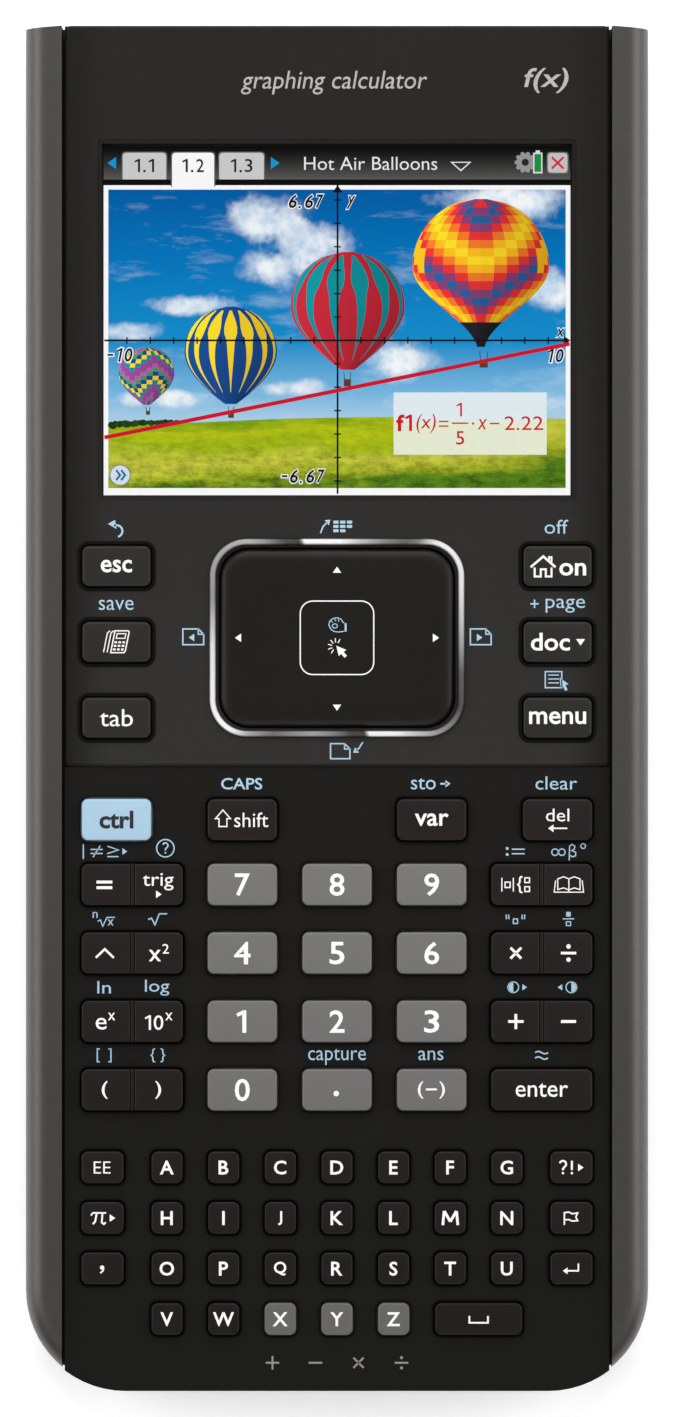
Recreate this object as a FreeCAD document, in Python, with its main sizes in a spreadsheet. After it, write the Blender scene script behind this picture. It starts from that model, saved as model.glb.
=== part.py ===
import FreeCAD, Part
import math
import os

import Sketcher
from FreeCAD import Placement, Rotation, Vector

# A hand-held graphing calculator, lying face up on its four rubber feet.
# X runs across the keys, Y runs from the foot of the keypad to the display, and Z is up.
# The origin is on the table, under the middle of the case. All sizes are millimetres.

doc = FreeCAD.newDocument("GraphingCalculator")

driving_sizes = {
    # Case
    "body_width": 87.0,
    "body_length": 190.5,
    "foot_corner": 14.0,  # plan radius at the keypad end
    "head_corner": 1.0,  # plan radius at the display end
    "wall": 1.6,
    "floor_bottom": 0.6,  # the feet lift the rear housing by this much
    "floor_top": 2.2,
    "parting": 8.0,  # height where the front and rear housings meet
    "plate_bottom": 12.6,
    "panel_top": 14.0,
    "tongue_width": 76.0,  # the front housing between the two rails
    "tongue_wall": 1.0,
    "shoulder_inset": 1.9,
    "shoulder_top": 12.9,
    "rear_edge_round": 3.4,
    # Side rails
    "rail_inner": 38.4,
    "rail_wall": 1.7,
    "rail_bottom": 8.0,
    "rail_top": 14.7,
    "rail_flange_bottom": 12.9,
    "rail_round": 3.0,
    "rail_slant": 0.4,
    # Fascia, the raised upper panel
    "fascia_seat": 13.3,
    "fascia_top": 14.5,
    "fascia_low_y": -8.06,
    "fascia_width": 75.9,
    "fascia_bevel": 0.35,
    # Display
    "display_y": 54.2,
    "window_width": 66.6,
    "window_length": 50.2,
    "window_bottom": 13.3,
    "window_top": 14.4,
    "sight_width": 65.6,
    "sight_length": 49.2,
    "module_width": 70.4,
    "module_length": 56.8,
    "module_bottom": 9.2,
    "module_top": 12.6,
    # Keypad layout
    "side_column_x": 30.75,
    "pair_column_x": 28.55,
    "number_pitch_x": 13.2,
    "upper_row_y": 19.85,
    "upper_row_pitch": 10.57,
    "control_row_y": -15.5,
    "number_row_y": -24.55,
    "number_row_pitch": 9.54,
    "letter_row_y": -64.0,
    "letter_row_pitch": 7.05,
    "letter_pitch_x": 7.9,
    "letter_side_x": 32.7,
    "space_key_x": 19.75,
    # Key caps
    "upper_key_width": 9.6,
    "key_width": 9.7,
    "pair_key_width": 14.15,
    "letter_key_width": 4.4,
    "symbol_key_width": 5.95,
    "space_key_width": 12.2,
    "upper_key_length": 5.7,
    "key_length": 5.8,
    "letter_key_length": 4.5,
    "key_corner": 0.9,
    "key_round": 0.3,
    "key_gap": 0.25,
    "flange_margin": 0.6,
    "flange_thickness": 0.65,
    "flange_bottom": 11.8,
    "rocker_flange_bottom": 11.1,
    "rocker_groove": 0.5,
    "rocker_groove_depth": 0.35,
    "upper_key_top": 15.4,
    "key_top": 15.3,
    "number_key_top": 15.4,
    "letter_key_top": 15.0,
    # Touchpad
    "touchpad_y": 9.86,
    "ring_width": 35.5,
    "ring_length": 27.6,
    "ring_corner": 5.2,
    "ring_band": 0.8,
    "ring_seat": 13.9,
    "ring_top": 15.2,
    "pad_width": 32.4,
    "pad_length": 24.6,
    "pad_corner": 4.0,
    "pad_gap": 0.35,
    "pad_round": 0.4,
    "pad_top": 14.9,
    "pad_flange_width": 35.0,
    "pad_flange_length": 27.2,
    "pad_flange_bottom": 11.45,
    "pad_flange_thickness": 0.5,
    "stiffener_width": 28.0,
    "stiffener_length": 20.0,
    "stiffener_bottom": 10.7,
    "stiffener_thickness": 0.45,
    "plunger_radius": 3.0,
    "plunger_bottom": 9.75,
    "plunger_top": 10.6,
    # Circuit board and key membrane
    "board_width": 70.6,
    "board_length": 182.0,
    "board_bottom": 8.2,
    "board_top": 9.2,
    "membrane_width": 70.2,
    "membrane_low_y": -89.0,
    "membrane_high_y": 23.4,
    "membrane_thickness": 0.5,
    "dome_foot_radius": 1.7,
    "dome_head_radius": 1.1,
    "dome_overlap": 0.2,
    "dome_clearance": 0.05,
    "rocker_dome_x": 3.6,
    # Battery bay
    "battery_y": -38.0,
    "cover_width": 54.0,
    "cover_length": 42.0,
    "cover_corner": 2.0,
    "cover_gap": 0.12,
    "bay_wall": 1.2,
    "bay_top": 8.2,
    "bay_post": 5.0,
    "battery_width": 42.0,
    "battery_length": 37.0,
    "battery_bottom": 2.5,
    "battery_top": 7.7,
    # Screws, one size throughout
    "screw_head_radius": 1.8,
    "screw_head_height": 1.0,
    "screw_shank_radius": 1.0,
    "screw_shank_length": 5.0,
    "screw_seat": 1.8,
    "screw_play": 0.02,
    "screw_x": 37.7,
    "screw_high_y": 84.0,
    "screw_middle_y": 4.0,
    "screw_low_y": -58.91,
    "boss_radius": 1.9,
    # Feet
    "foot_radius": 3.5,
    "foot_recess": 0.4,
    "foot_x": 33.0,
    "foot_high_y": 74.0,
    "foot_low_y": -84.0,
    # Sockets and the reset button
    "usb_width": 7.7,
    "usb_height": 3.95,
    "usb_depth": 9.2,
    "usb_shell": 0.3,
    "usb_bottom": 4.0,
    "dock_width": 24.0,
    "dock_height": 4.0,
    "dock_depth": 5.0,
    "dock_bottom": 3.9,
    "dock_slot_width": 22.0,
    "dock_slot_height": 2.4,
    "dock_slot_depth": 2.6,
    "dock_contact_pitch": 2.0,
    "reset_x": -22.0,
    "reset_y": 48.0,
    "reset_stem_radius": 0.7,
    "reset_hole_radius": 0.9,
    "reset_flange_radius": 1.6,
}

sheet = doc.addObject("Spreadsheet::Sheet", "Size")
for row, (alias, number) in enumerate(driving_sizes.items(), start=1):
    sheet.set(f"A{row}", alias)
    sheet.set(f"B{row}", str(number))
    sheet.setAlias(f"B{row}", alias)
doc.recompute()

half = "Size.body_width / 2"
end_y = "Size.body_length / 2"


def amount(expression):
    """The present value of an expression, used to place a sketch's first guess."""
    return float(sheet.evalExpression(str(expression)))


def place(item, x="0", y="0", z="0"):
    """Binds an object's position to the sheet."""
    for axis, expression in (("x", x), ("y", y), ("z", z)):
        item.setExpression(f"Placement.Base.{axis}", str(expression))
    return item


def body(label):
    made = doc.addObject("PartDesign::Body", label)
    made.Label = label
    return made


def flat_sketch(owner, name, height="0"):
    """An empty sketch on the body's own XY plane, lifted to a height."""
    made = owner.newObject("Sketcher::SketchObject", name)
    plane = next(f for f in owner.Origin.OriginFeatures if f.Role == "XY_Plane")
    made.AttachmentSupport = [(plane, "")]
    made.MapMode = "FlatFace"
    made.setExpression("AttachmentOffset.Base.z", str(height))
    return made


def add_size(sketch, name, constraint, expression):
    """A named sketch dimension bound to the sheet."""
    index = sketch.addConstraint(constraint)
    sketch.renameConstraint(index, name)
    sketch.setExpression(f"Constraints.{name}", expression)


def corner_arc(x, y, radius, start):
    quarter = math.pi / 2
    circle = Part.Circle(Vector(x, y, 0), Vector(0, 0, 1), radius)
    return Part.ArcOfCircle(circle, start * quarter, (start + 1) * quarter)


def draw_rounded(sketch, width, length, low_corner, high_corner=None):
    """A rectangle about the sketch's origin, with one radius at its low end and one at its high end."""
    high_corner = high_corner or low_corner
    w, h = amount(width) / 2, amount(length) / 2
    low, high = amount(low_corner), amount(high_corner)
    sketch.addGeometry(
        [
            Part.LineSegment(Vector(low - w, -h, 0), Vector(w - low, -h, 0)),
            Part.LineSegment(Vector(w, low - h, 0), Vector(w, h - high, 0)),
            Part.LineSegment(Vector(w - high, h, 0), Vector(high - w, h, 0)),
            Part.LineSegment(Vector(-w, h - high, 0), Vector(-w, low - h, 0)),
            corner_arc(w - low, low - h, low, 3),
            corner_arc(w - high, h - high, high, 0),
            corner_arc(high - w, h - high, high, 1),
            corner_arc(low - w, low - h, low, 2),
        ],
        False,
    )
    fixed = Sketcher.Constraint
    ring = [0, 4, 1, 5, 2, 6, 3, 7]
    rules = [fixed("Tangent", a, 2, b, 1) for a, b in zip(ring, ring[1:] + ring[:1])]
    rules += [fixed("Horizontal", 0), fixed("Vertical", 1), fixed("Horizontal", 2), fixed("Vertical", 3)]
    rules += [fixed("Equal", 4, 7), fixed("Equal", 5, 6)]
    sketch.addConstraint(rules)
    add_size(sketch, "width", fixed("DistanceX", 3, 1, 1, 1, 2 * w), width)
    add_size(sketch, "length", fixed("DistanceY", 0, 1, 2, 2, 2 * h), length)
    add_size(sketch, "low_corner", fixed("Radius", 4, low), low_corner)
    add_size(sketch, "high_corner", fixed("Radius", 5, high), high_corner)
    add_size(sketch, "middle_x", fixed("DistanceX", -1, 1, 1, 1, w), f"({width}) / 2")
    add_size(sketch, "middle_y", fixed("DistanceY", -1, 1, 2, 2, h), f"({length}) / 2")


def pad(owner, name, sketch, thickness):
    made = owner.newObject("PartDesign::Pad", name)
    made.Profile = sketch
    made.setExpression("Length", thickness)
    return made


def pocket(owner, name, sketch, depth, upward=False):
    """Cuts down from the sketch, or up from it, and makes sure that something was cut."""
    doc.recompute()
    before = owner.Shape.Volume
    made = owner.newObject("PartDesign::Pocket", name)
    made.Profile = sketch
    made.setExpression("Length", depth)
    made.Reversed = upward
    doc.recompute()
    if not made.Shape.Volume < before:
        raise RuntimeError(f"{owner.Label}: {name} cut nothing")
    return made


def edges_at(shape, accept):
    """Names of the edges whose bounding box passes a test."""
    return [f"Edge{i}" for i, edge in enumerate(shape.Edges, start=1) if accept(edge.BoundBox)]


def dress(owner, kind, name, base, size_name, size, accept):
    """A Fillet or Chamfer on the edges that pass a test."""
    doc.recompute()
    made = owner.newObject(f"PartDesign::{kind}", name)
    made.Base = (base, edges_at(base.Shape, accept))
    made.setExpression(size_name, size)
    return made


def prism(label, width, length, corner, x, y, low, high, high_corner=None):
    """A rounded-corner plate between two heights, centred on x and y."""
    made = place(body(label), x, y, low)
    outline = flat_sketch(made, f"{label}_outline")
    draw_rounded(outline, width, length, corner, high_corner)
    pad(made, f"{label}_pad", outline, f"({high}) - ({low})")
    return made


def box(label, width, depth, height, x, y, z):
    """A plain block centred on x and y, standing on z."""
    made = doc.addObject("Part::Box", label)
    made.setExpression("Length", width)
    made.setExpression("Width", depth)
    made.setExpression("Height", height)
    return place(made, f"({x}) - ({width}) / 2", f"({y}) - ({depth}) / 2", z)


def cylinder(label, radius, height, x, y, z):
    made = doc.addObject("Part::Cylinder", label)
    made.setExpression("Radius", radius)
    made.setExpression("Height", height)
    return place(made, x, y, z)


def group(label, members):
    made = doc.addObject("Part::Compound", label)
    made.Links = members
    made.Label = label
    return made


def joined(label, members):
    made = doc.addObject("Part::MultiFuse", label)
    made.Shapes = members
    made.Label = label
    return made


def cut(label, base, tools):
    made = doc.addObject("Part::Cut", label)
    made.Base = base
    made.Tool = group(f"{label}_cutters", tools)
    made.Label = label
    return made


# --- Key layout --------------------------------------------------------------------------------
# Each cap is (node, x, y, width, length, top). A node that holds several caps is listed once per cap.

caps = []
number_rows = ["789", "456", "123"]
letter_rows = ["ABCDEFG", "HIJKLMN", "OPQRSTU"]


def add_cap(node, x, y, width="Size.key_width", length="Size.key_length", top="Size.key_top"):
    caps.append((node, x, y, width, length, top))


upper_left = ["escape_key", "scratchpad_key", "tab_key"]
upper_right = ["home_key", "document_key", "menu_key"]
for names, side in ((upper_left, "-"), (upper_right, "")):
    for row, node in enumerate(names):
        row_y = f"Size.upper_row_y - {row} * Size.upper_row_pitch"
        add_cap(node, f"{side}Size.side_column_x", row_y,
                "Size.upper_key_width", "Size.upper_key_length", "Size.upper_key_top")

add_cap("control_key", "-Size.side_column_x", "Size.control_row_y")
add_cap("shift_key", "-Size.number_pitch_x", "Size.control_row_y")
add_cap("variable_key", "Size.number_pitch_x", "Size.control_row_y")
add_cap("delete_key", "Size.side_column_x", "Size.control_row_y")

for row, digits in enumerate(number_rows):
    for column, digit in enumerate(digits):
        add_cap(f"digit_{digit}_key", f"{column - 1} * Size.number_pitch_x",
                f"Size.number_row_y - {row} * Size.number_row_pitch", top="Size.number_key_top")
last_row_y = "Size.number_row_y - 3 * Size.number_row_pitch"
for column, node in enumerate(["digit_0_key", "point_key", "negative_key"]):
    add_cap(node, f"{column - 1} * Size.number_pitch_x", last_row_y, top="Size.number_key_top")
add_cap("enter_key", "Size.pair_column_x", last_row_y, width="Size.pair_key_width")

rockers = []
left_rockers = ["equals_trig_rocker", "power_square_rocker", "exponential_rocker", "bracket_rocker"]
right_rockers = ["template_catalog_rocker", "multiply_divide_rocker", "plus_minus_rocker"]
for names, side in ((left_rockers, "-"), (right_rockers, "")):
    for row, node in enumerate(names):
        row_y = f"Size.number_row_y - {row} * Size.number_row_pitch"
        rockers.append((node, f"{side}Size.pair_column_x", row_y))


def letter_cap(node, column, row):
    """A letter key: columns are counted from the middle column, rows from the top letter row."""
    add_cap(node, f"{column} * Size.letter_pitch_x", f"Size.letter_row_y - {row} * Size.letter_row_pitch",
            "Size.letter_key_width", "Size.letter_key_length", "Size.letter_key_top")


for row, letters in enumerate(letter_rows):
    for column in range(len(letters)):
        letter_cap(f"letter_keys_{letters[0].lower()}_to_{letters[-1].lower()}", column - 3, row)
for column in (-3, -2):
    letter_cap("letter_keys_v_w", column, 3)
for column in (-1, 0, 1):
    letter_cap("letter_keys_x_y_z", column, 3)
for node, side in (("left_symbol_keys", "-"), ("right_symbol_keys", "")):
    for row in range(3):
        add_cap(node, f"{side}Size.letter_side_x", f"Size.letter_row_y - {row} * Size.letter_row_pitch",
                "Size.symbol_key_width", "Size.letter_key_length", "Size.letter_key_top")
add_cap("space_key", "Size.space_key_x", "Size.letter_row_y - 3 * Size.letter_row_pitch",
        "Size.space_key_width", "Size.letter_key_length", "Size.letter_key_top")


# --- Key caps ----------------------------------------------------------------------------------

def key_cap(label, x, y, width, length, top, flange_low):
    """A cap that stands up through its aperture, on a flange that holds it under the plate."""
    made = place(body(label), x, y, flange_low)
    cap_outline = flat_sketch(made, f"{label}_cap_outline")
    draw_rounded(cap_outline, width, length, "Size.key_corner")
    cap = pad(made, f"{label}_cap", cap_outline, f"({top}) - ({flange_low})")
    height = amount(top) - amount(flange_low)
    soft = dress(made, "Fillet", f"{label}_round", cap, "Radius", "Size.key_round",
                 lambda b: abs(b.ZMin - height) < 1e-4)
    flange_outline = flat_sketch(made, f"{label}_flange_outline")
    draw_rounded(flange_outline, f"({width}) + 2 * Size.flange_margin",
                 f"({length}) + 2 * Size.flange_margin", "Size.key_corner")
    pad(made, f"{label}_flange", flange_outline, "Size.flange_thickness")
    return made, soft


cap_bodies = {}
for index, (node, x, y, width, length, top) in enumerate(caps):
    made, _ = key_cap(f"{node}_{index}", x, y, width, length, top, "Size.flange_bottom")
    cap_bodies.setdefault(node, []).append(made)

nodes = {}
for node, members in cap_bodies.items():
    if len(members) == 1:
        members[0].Label = node
        nodes[node] = members[0]
    else:
        nodes[node] = group(node, members)

for node, x, y in rockers:
    made, _ = key_cap(node, x, y, "Size.pair_key_width", "Size.key_length", "Size.key_top",
                      "Size.rocker_flange_bottom")
    groove = flat_sketch(made, f"{node}_groove_outline", "Size.key_top - Size.rocker_flange_bottom")
    draw_rounded(groove, "Size.rocker_groove", "Size.key_length + 1", "0.1")
    pocket(made, f"{node}_groove", groove, "Size.rocker_groove_depth")
    nodes[node] = made


# --- Apertures in the front of the case --------------------------------------------------------

apertures = []
aperture_spans = [(node, x, y, width, length) for node, x, y, width, length, _ in caps]
aperture_spans += [(node, x, y, "Size.pair_key_width", "Size.key_length") for node, x, y in rockers]
for index, (node, x, y, width, length) in enumerate(aperture_spans):
    apertures.append(prism(
        f"aperture_{index}", f"({width}) + 2 * Size.key_gap", f"({length}) + 2 * Size.key_gap",
        "Size.key_corner + Size.key_gap", x, y, "Size.plate_bottom - 0.5", "Size.key_top + 0.5",
    ))
pad_opening_width = "Size.pad_width + 2 * Size.pad_gap"
pad_opening_length = "Size.pad_length + 2 * Size.pad_gap"
apertures.append(prism("aperture_touchpad", pad_opening_width, pad_opening_length,
                       "Size.pad_corner + Size.pad_gap", "0", "Size.touchpad_y",
                       "Size.plate_bottom - 0.5", "Size.ring_top"))
sight_hole = prism("sight_hole", "Size.sight_width", "Size.sight_length", "0.4",
                   "0", "Size.display_y", "Size.plate_bottom - 0.5", "Size.fascia_seat + 0.2")
window_hole = prism("window_hole", "Size.window_width + 0.16", "Size.window_length + 0.16", "0.5",
                    "0", "Size.display_y", "Size.fascia_seat - 0.2", "Size.fascia_top + 0.5")
ring_seat_hole = prism("ring_seat_hole", "Size.ring_width + 0.1", "Size.ring_length + 0.1",
                       "Size.ring_corner + 0.05", "0", "Size.touchpad_y", "Size.ring_seat",
                       "Size.ring_top")


# --- Front housing -----------------------------------------------------------------------------

def draw_tongue(sketch):
    """The part of the case's outline that shows between the rails, with the case's own corner arcs."""
    w, top = amount("Size.tongue_width") / 2, amount(end_y)
    radius = amount("Size.foot_corner")
    centre_x, centre_y = amount(half) - radius, radius - top
    meet_y = centre_y - math.sqrt(radius**2 - (w - centre_x) ** 2)
    lean = math.atan2(meet_y - centre_y, w - centre_x)
    across = Vector(0, 0, 1)
    right = Part.Circle(Vector(centre_x, centre_y, 0), across, radius)
    left = Part.Circle(Vector(-centre_x, centre_y, 0), across, radius)
    sketch.addGeometry(
        [
            Part.LineSegment(Vector(-w, top, 0), Vector(w, top, 0)),
            Part.LineSegment(Vector(w, top, 0), Vector(w, meet_y, 0)),
            Part.ArcOfCircle(right, -math.pi / 2, lean),
            Part.LineSegment(Vector(centre_x, -top, 0), Vector(-centre_x, -top, 0)),
            Part.ArcOfCircle(left, math.pi - lean, 1.5 * math.pi),
            Part.LineSegment(Vector(-w, meet_y, 0), Vector(-w, top, 0)),
        ],
        False,
    )
    fixed = Sketcher.Constraint
    sketch.addConstraint(
        [
            fixed("Coincident", 0, 2, 1, 1),
            fixed("Coincident", 1, 2, 2, 2),
            fixed("Tangent", 2, 1, 3, 1),
            fixed("Tangent", 3, 2, 4, 2),
            fixed("Coincident", 4, 1, 5, 1),
            fixed("Coincident", 5, 2, 0, 1),
            fixed("Vertical", 1),
            fixed("Vertical", 5),
            fixed("Equal", 2, 4),
            fixed("Symmetric", 0, 1, 0, 2, -2),
            fixed("Symmetric", 3, 1, 3, 2, -2),
        ]
    )
    add_size(sketch, "width", fixed("DistanceX", 0, 1, 0, 2, 2 * w), "Size.tongue_width")
    add_size(sketch, "top", fixed("DistanceY", -1, 1, 0, 2, top), end_y)
    add_size(sketch, "length", fixed("DistanceY", 3, 1, 0, 2, 2 * top), "Size.body_length")
    add_size(sketch, "corner", fixed("Radius", 2, radius), "Size.foot_corner")
    add_size(sketch, "centre", fixed("DistanceX", -1, 1, 2, 3, centre_x), f"{half} - Size.foot_corner")


def inset_outline(sketch, inset):
    """The case's plan outline, moved inwards."""
    draw_rounded(sketch, f"Size.body_width - 2 * ({inset})", f"Size.body_length - 2 * ({inset})",
                 f"Size.foot_corner - ({inset})", "Size.head_corner")


front = place(body("front_shell"), z="Size.parting")
shoulder_outline = flat_sketch(front, "shoulder_outline")
inset_outline(shoulder_outline, "Size.shoulder_inset")
pad(front, "shoulder", shoulder_outline, "Size.shoulder_top - Size.parting")
tongue_outline = flat_sketch(front, "tongue_outline")
draw_tongue(tongue_outline)
pad(front, "tongue", tongue_outline, "Size.panel_top - Size.parting")
lower_hollow = flat_sketch(front, "lower_hollow_outline")
inset_outline(lower_hollow, "Size.shoulder_inset + Size.wall")
pocket(front, "lower_hollow", lower_hollow, "Size.shoulder_top - Size.wall - Size.parting", upward=True)
upper_hollow = flat_sketch(front, "upper_hollow_outline")
draw_rounded(upper_hollow, "Size.tongue_width - 2 * Size.tongue_wall",
             "Size.body_length - 2 * Size.wall - 2 * Size.shoulder_inset", "Size.foot_corner - 3",
             "Size.head_corner")
pocket(front, "upper_hollow", upper_hollow, "Size.plate_bottom - Size.parting", upward=True)

fascia_length = f"{end_y} - Size.fascia_low_y"
fascia_middle_y = f"({end_y} + Size.fascia_low_y) / 2"
fascia_recess = box("fascia_recess", "Size.body_width", f"{fascia_length} + 1.1", "3",
                    "0", f"{fascia_middle_y} + 0.45", "Size.fascia_seat")
# The front shell is filled again above this box only by the fascia, so the rails' shoulders stay whole.
screw_spots = [(f"{side}Size.screw_x", f"Size.screw_{level}_y")
               for side in ("-", "") for level in ("high", "middle", "low")]
bosses = []
pilots = []
for index, (x, y) in enumerate(screw_spots):
    bosses.append(cylinder(f"boss_{index}", "Size.boss_radius",
                           "Size.shoulder_top - Size.wall + 0.3 - Size.floor_top", x, y, "Size.floor_top"))
    pilots.append(cylinder(f"pilot_{index}", "Size.screw_shank_radius + Size.screw_play",
                           "Size.screw_shank_length + 1", x, y, "Size.screw_seat - 0.5"))
front_blank = joined("front_blank", [front] + bosses)
nodes["front_housing"] = cut("front_housing", front_blank,
                             apertures + pilots + [fascia_recess, sight_hole])


# --- Fascia, rails and window ------------------------------------------------------------------

fascia = prism("fascia_plate", "Size.fascia_width", fascia_length, "0.6", "0", fascia_middle_y,
               "Size.fascia_seat", "Size.fascia_top", "0.8")
fascia_height = amount("Size.fascia_top - Size.fascia_seat")
dress(fascia, "Chamfer", "fascia_bevel", fascia.Tip, "Size", "Size.fascia_bevel",
      lambda b: abs(b.ZMin - fascia_height) < 1e-4)
nodes["upper_fascia"] = cut("upper_fascia", fascia, apertures + [window_hole, ring_seat_hole])

nodes["display_window"] = prism("display_window", "Size.window_width", "Size.window_length", "0.4",
                                "0", "Size.display_y", "Size.window_bottom", "Size.window_top")


def draw_rail(sketch):
    """One rail's plan: straight inside, the case's outline outside, and a slight slant at the head."""
    inner, outer = amount("Size.rail_inner"), amount(half)
    top, radius = amount(end_y), amount("Size.foot_corner")
    slant = amount("Size.rail_slant")
    centre_x, centre_y = outer - radius, radius - top
    meet_y = centre_y - math.sqrt(radius**2 - (inner - centre_x) ** 2)
    lean = math.atan2(meet_y - centre_y, inner - centre_x)
    circle = Part.Circle(Vector(centre_x, centre_y, 0), Vector(0, 0, 1), radius)
    sketch.addGeometry(
        [
            Part.LineSegment(Vector(inner, top, 0), Vector(outer, top - slant, 0)),
            Part.LineSegment(Vector(outer, top - slant, 0), Vector(outer, centre_y, 0)),
            Part.ArcOfCircle(circle, lean, 0),
            Part.LineSegment(Vector(inner, meet_y, 0), Vector(inner, top, 0)),
        ],
        False,
    )
    fixed = Sketcher.Constraint
    sketch.addConstraint(
        [
            fixed("Coincident", 0, 2, 1, 1),
            fixed("Tangent", 1, 2, 2, 2),
            fixed("Coincident", 2, 1, 3, 1),
            fixed("Coincident", 3, 2, 0, 1),
            fixed("Vertical", 1),
            fixed("Vertical", 3),
        ]
    )
    add_size(sketch, "inner", fixed("DistanceX", -1, 1, 3, 1, inner), "Size.rail_inner")
    add_size(sketch, "outer", fixed("DistanceX", -1, 1, 1, 1, outer), half)
    add_size(sketch, "top", fixed("DistanceY", -1, 1, 0, 1, top), end_y)
    add_size(sketch, "slant", fixed("DistanceY", 0, 2, 0, 1, slant), "Size.rail_slant")
    add_size(sketch, "corner", fixed("Radius", 2, radius), "Size.foot_corner")
    add_size(sketch, "centre", fixed("DistanceY", 2, 3, -1, 1, -centre_y), f"{end_y} - Size.foot_corner")


rail = place(body("right_side_rail"), z="Size.rail_bottom")
rail_outline = flat_sketch(rail, "rail_outline")
draw_rail(rail_outline)
rail_pad = pad(rail, "rail_block", rail_outline, "Size.rail_top - Size.rail_bottom")
rail_height = amount("Size.rail_top - Size.rail_bottom")
outer_x = amount(half)
foot_y = amount(f"Size.foot_corner - {end_y}")


def is_rail_shoulder(b):
    """The top edge along the rail's outer side, with its arc round the corner."""
    on_top = abs(b.ZMin - rail_height) < 1e-4
    return on_top and b.XMax > outer_x - 0.01 and b.YMin < foot_y + 0.01


rail_soft = dress(rail, "Fillet", "rail_round", rail_pad, "Radius", "Size.rail_round", is_rail_shoulder)
rail_hollow = flat_sketch(rail, "rail_hollow_outline")
inset_outline(rail_hollow, "Size.rail_wall")
pocket(rail, "rail_hollow", rail_hollow, "Size.rail_flange_bottom - Size.rail_bottom", upward=True)
nodes["right_side_rail"] = rail
left_rail = doc.addObject("Part::Mirroring", "left_side_rail")
left_rail.Source = rail
left_rail.Normal = Vector(1, 0, 0)
left_rail.Label = "left_side_rail"
nodes["left_side_rail"] = left_rail


# --- Touchpad: ring, pad, stiffener and plunger ------------------------------------------------

ring_height = amount("Size.ring_top - Size.ring_seat")
ring = prism("touchpad_ring", "Size.ring_width", "Size.ring_length", "Size.ring_corner", "0",
             "Size.touchpad_y", "Size.ring_seat", "Size.ring_top")
dress(ring, "Fillet", "ring_round", ring.Tip, "Radius", "0.3", lambda b: abs(b.ZMin - ring_height) < 1e-4)
ring_hole = flat_sketch(ring, "ring_hole_outline")
draw_rounded(ring_hole, "Size.ring_width - 2 * Size.ring_band", "Size.ring_length - 2 * Size.ring_band",
             "Size.ring_corner - Size.ring_band")
pocket(ring, "ring_hole", ring_hole, "Size.ring_top - Size.ring_seat + 1", upward=True)
nodes["touchpad_ring"] = ring

touchpad = place(body("touchpad"), "0", "Size.touchpad_y", "Size.pad_flange_bottom")
pad_outline = flat_sketch(touchpad, "pad_outline")
draw_rounded(pad_outline, "Size.pad_width", "Size.pad_length", "Size.pad_corner")
pad_block = pad(touchpad, "pad_block", pad_outline, "Size.pad_top - Size.pad_flange_bottom")
pad_height = amount("Size.pad_top - Size.pad_flange_bottom")
dress(touchpad, "Fillet", "pad_edge", pad_block, "Radius", "Size.pad_round",
      lambda b: abs(b.ZMin - pad_height) < 1e-4)
pad_flange_outline = flat_sketch(touchpad, "pad_flange_outline")
draw_rounded(pad_flange_outline, "Size.pad_flange_width", "Size.pad_flange_length", "Size.pad_corner")
pad(touchpad, "pad_flange", pad_flange_outline, "Size.pad_flange_thickness")
nodes["touchpad"] = touchpad

nodes["touchpad_stiffener"] = prism(
    "touchpad_stiffener", "Size.stiffener_width", "Size.stiffener_length", "2", "0", "Size.touchpad_y",
    "Size.stiffener_bottom", "Size.stiffener_bottom + Size.stiffener_thickness")
nodes["touchpad_plunger"] = cylinder("touchpad_plunger", "Size.plunger_radius",
                                     "Size.plunger_top - Size.plunger_bottom", "0", "Size.touchpad_y",
                                     "Size.plunger_bottom")


# --- Display module, circuit board and membrane ------------------------------------------------

nodes["display_module"] = prism("display_module", "Size.module_width", "Size.module_length", "0.5",
                                "0", "Size.display_y", "Size.module_bottom", "Size.module_top")

ribbon = place(body("display_ribbon_cable"), z="Size.board_top")
ribbon_outline = flat_sketch(ribbon, "ribbon_outline")
draw_rounded(ribbon_outline, "18", "1.6", "0.2")
pad(ribbon, "ribbon_loop", ribbon_outline, "2.4")
ribbon_slot = flat_sketch(ribbon, "ribbon_slot_outline", "0.2")
draw_rounded(ribbon_slot, "19", "1.2", "0.1")
pocket(ribbon, "ribbon_slot", ribbon_slot, "2.0", upward=True)
place(ribbon, "0", "Size.display_y - Size.module_length / 2 - 0.95", "Size.board_top")
nodes["display_ribbon_cable"] = ribbon

board = prism("board_blank", "Size.board_width", "Size.board_length", "10", "0", "0",
              "Size.board_bottom", "Size.board_top", "1")
chip_sizes = [("processor", 14, 14, -8, 58), ("memory", 9, 12, 10, 58), ("radio", 8, 8, 24, 40),
              ("charger", 6, 5, 24, 70), ("reset_switch", 4, 4, None, None)]
chips = []
for name, width, length, x, y in chip_sizes:
    where = (x, y) if x is not None else ("Size.reset_x", "Size.reset_y")
    chips.append(box(f"chip_{name}", str(width), str(length), "1.1", str(where[0]), str(where[1]),
                     "Size.board_bottom - 1"))
nodes["main_circuit_board"] = joined("main_circuit_board", [board] + chips)

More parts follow.
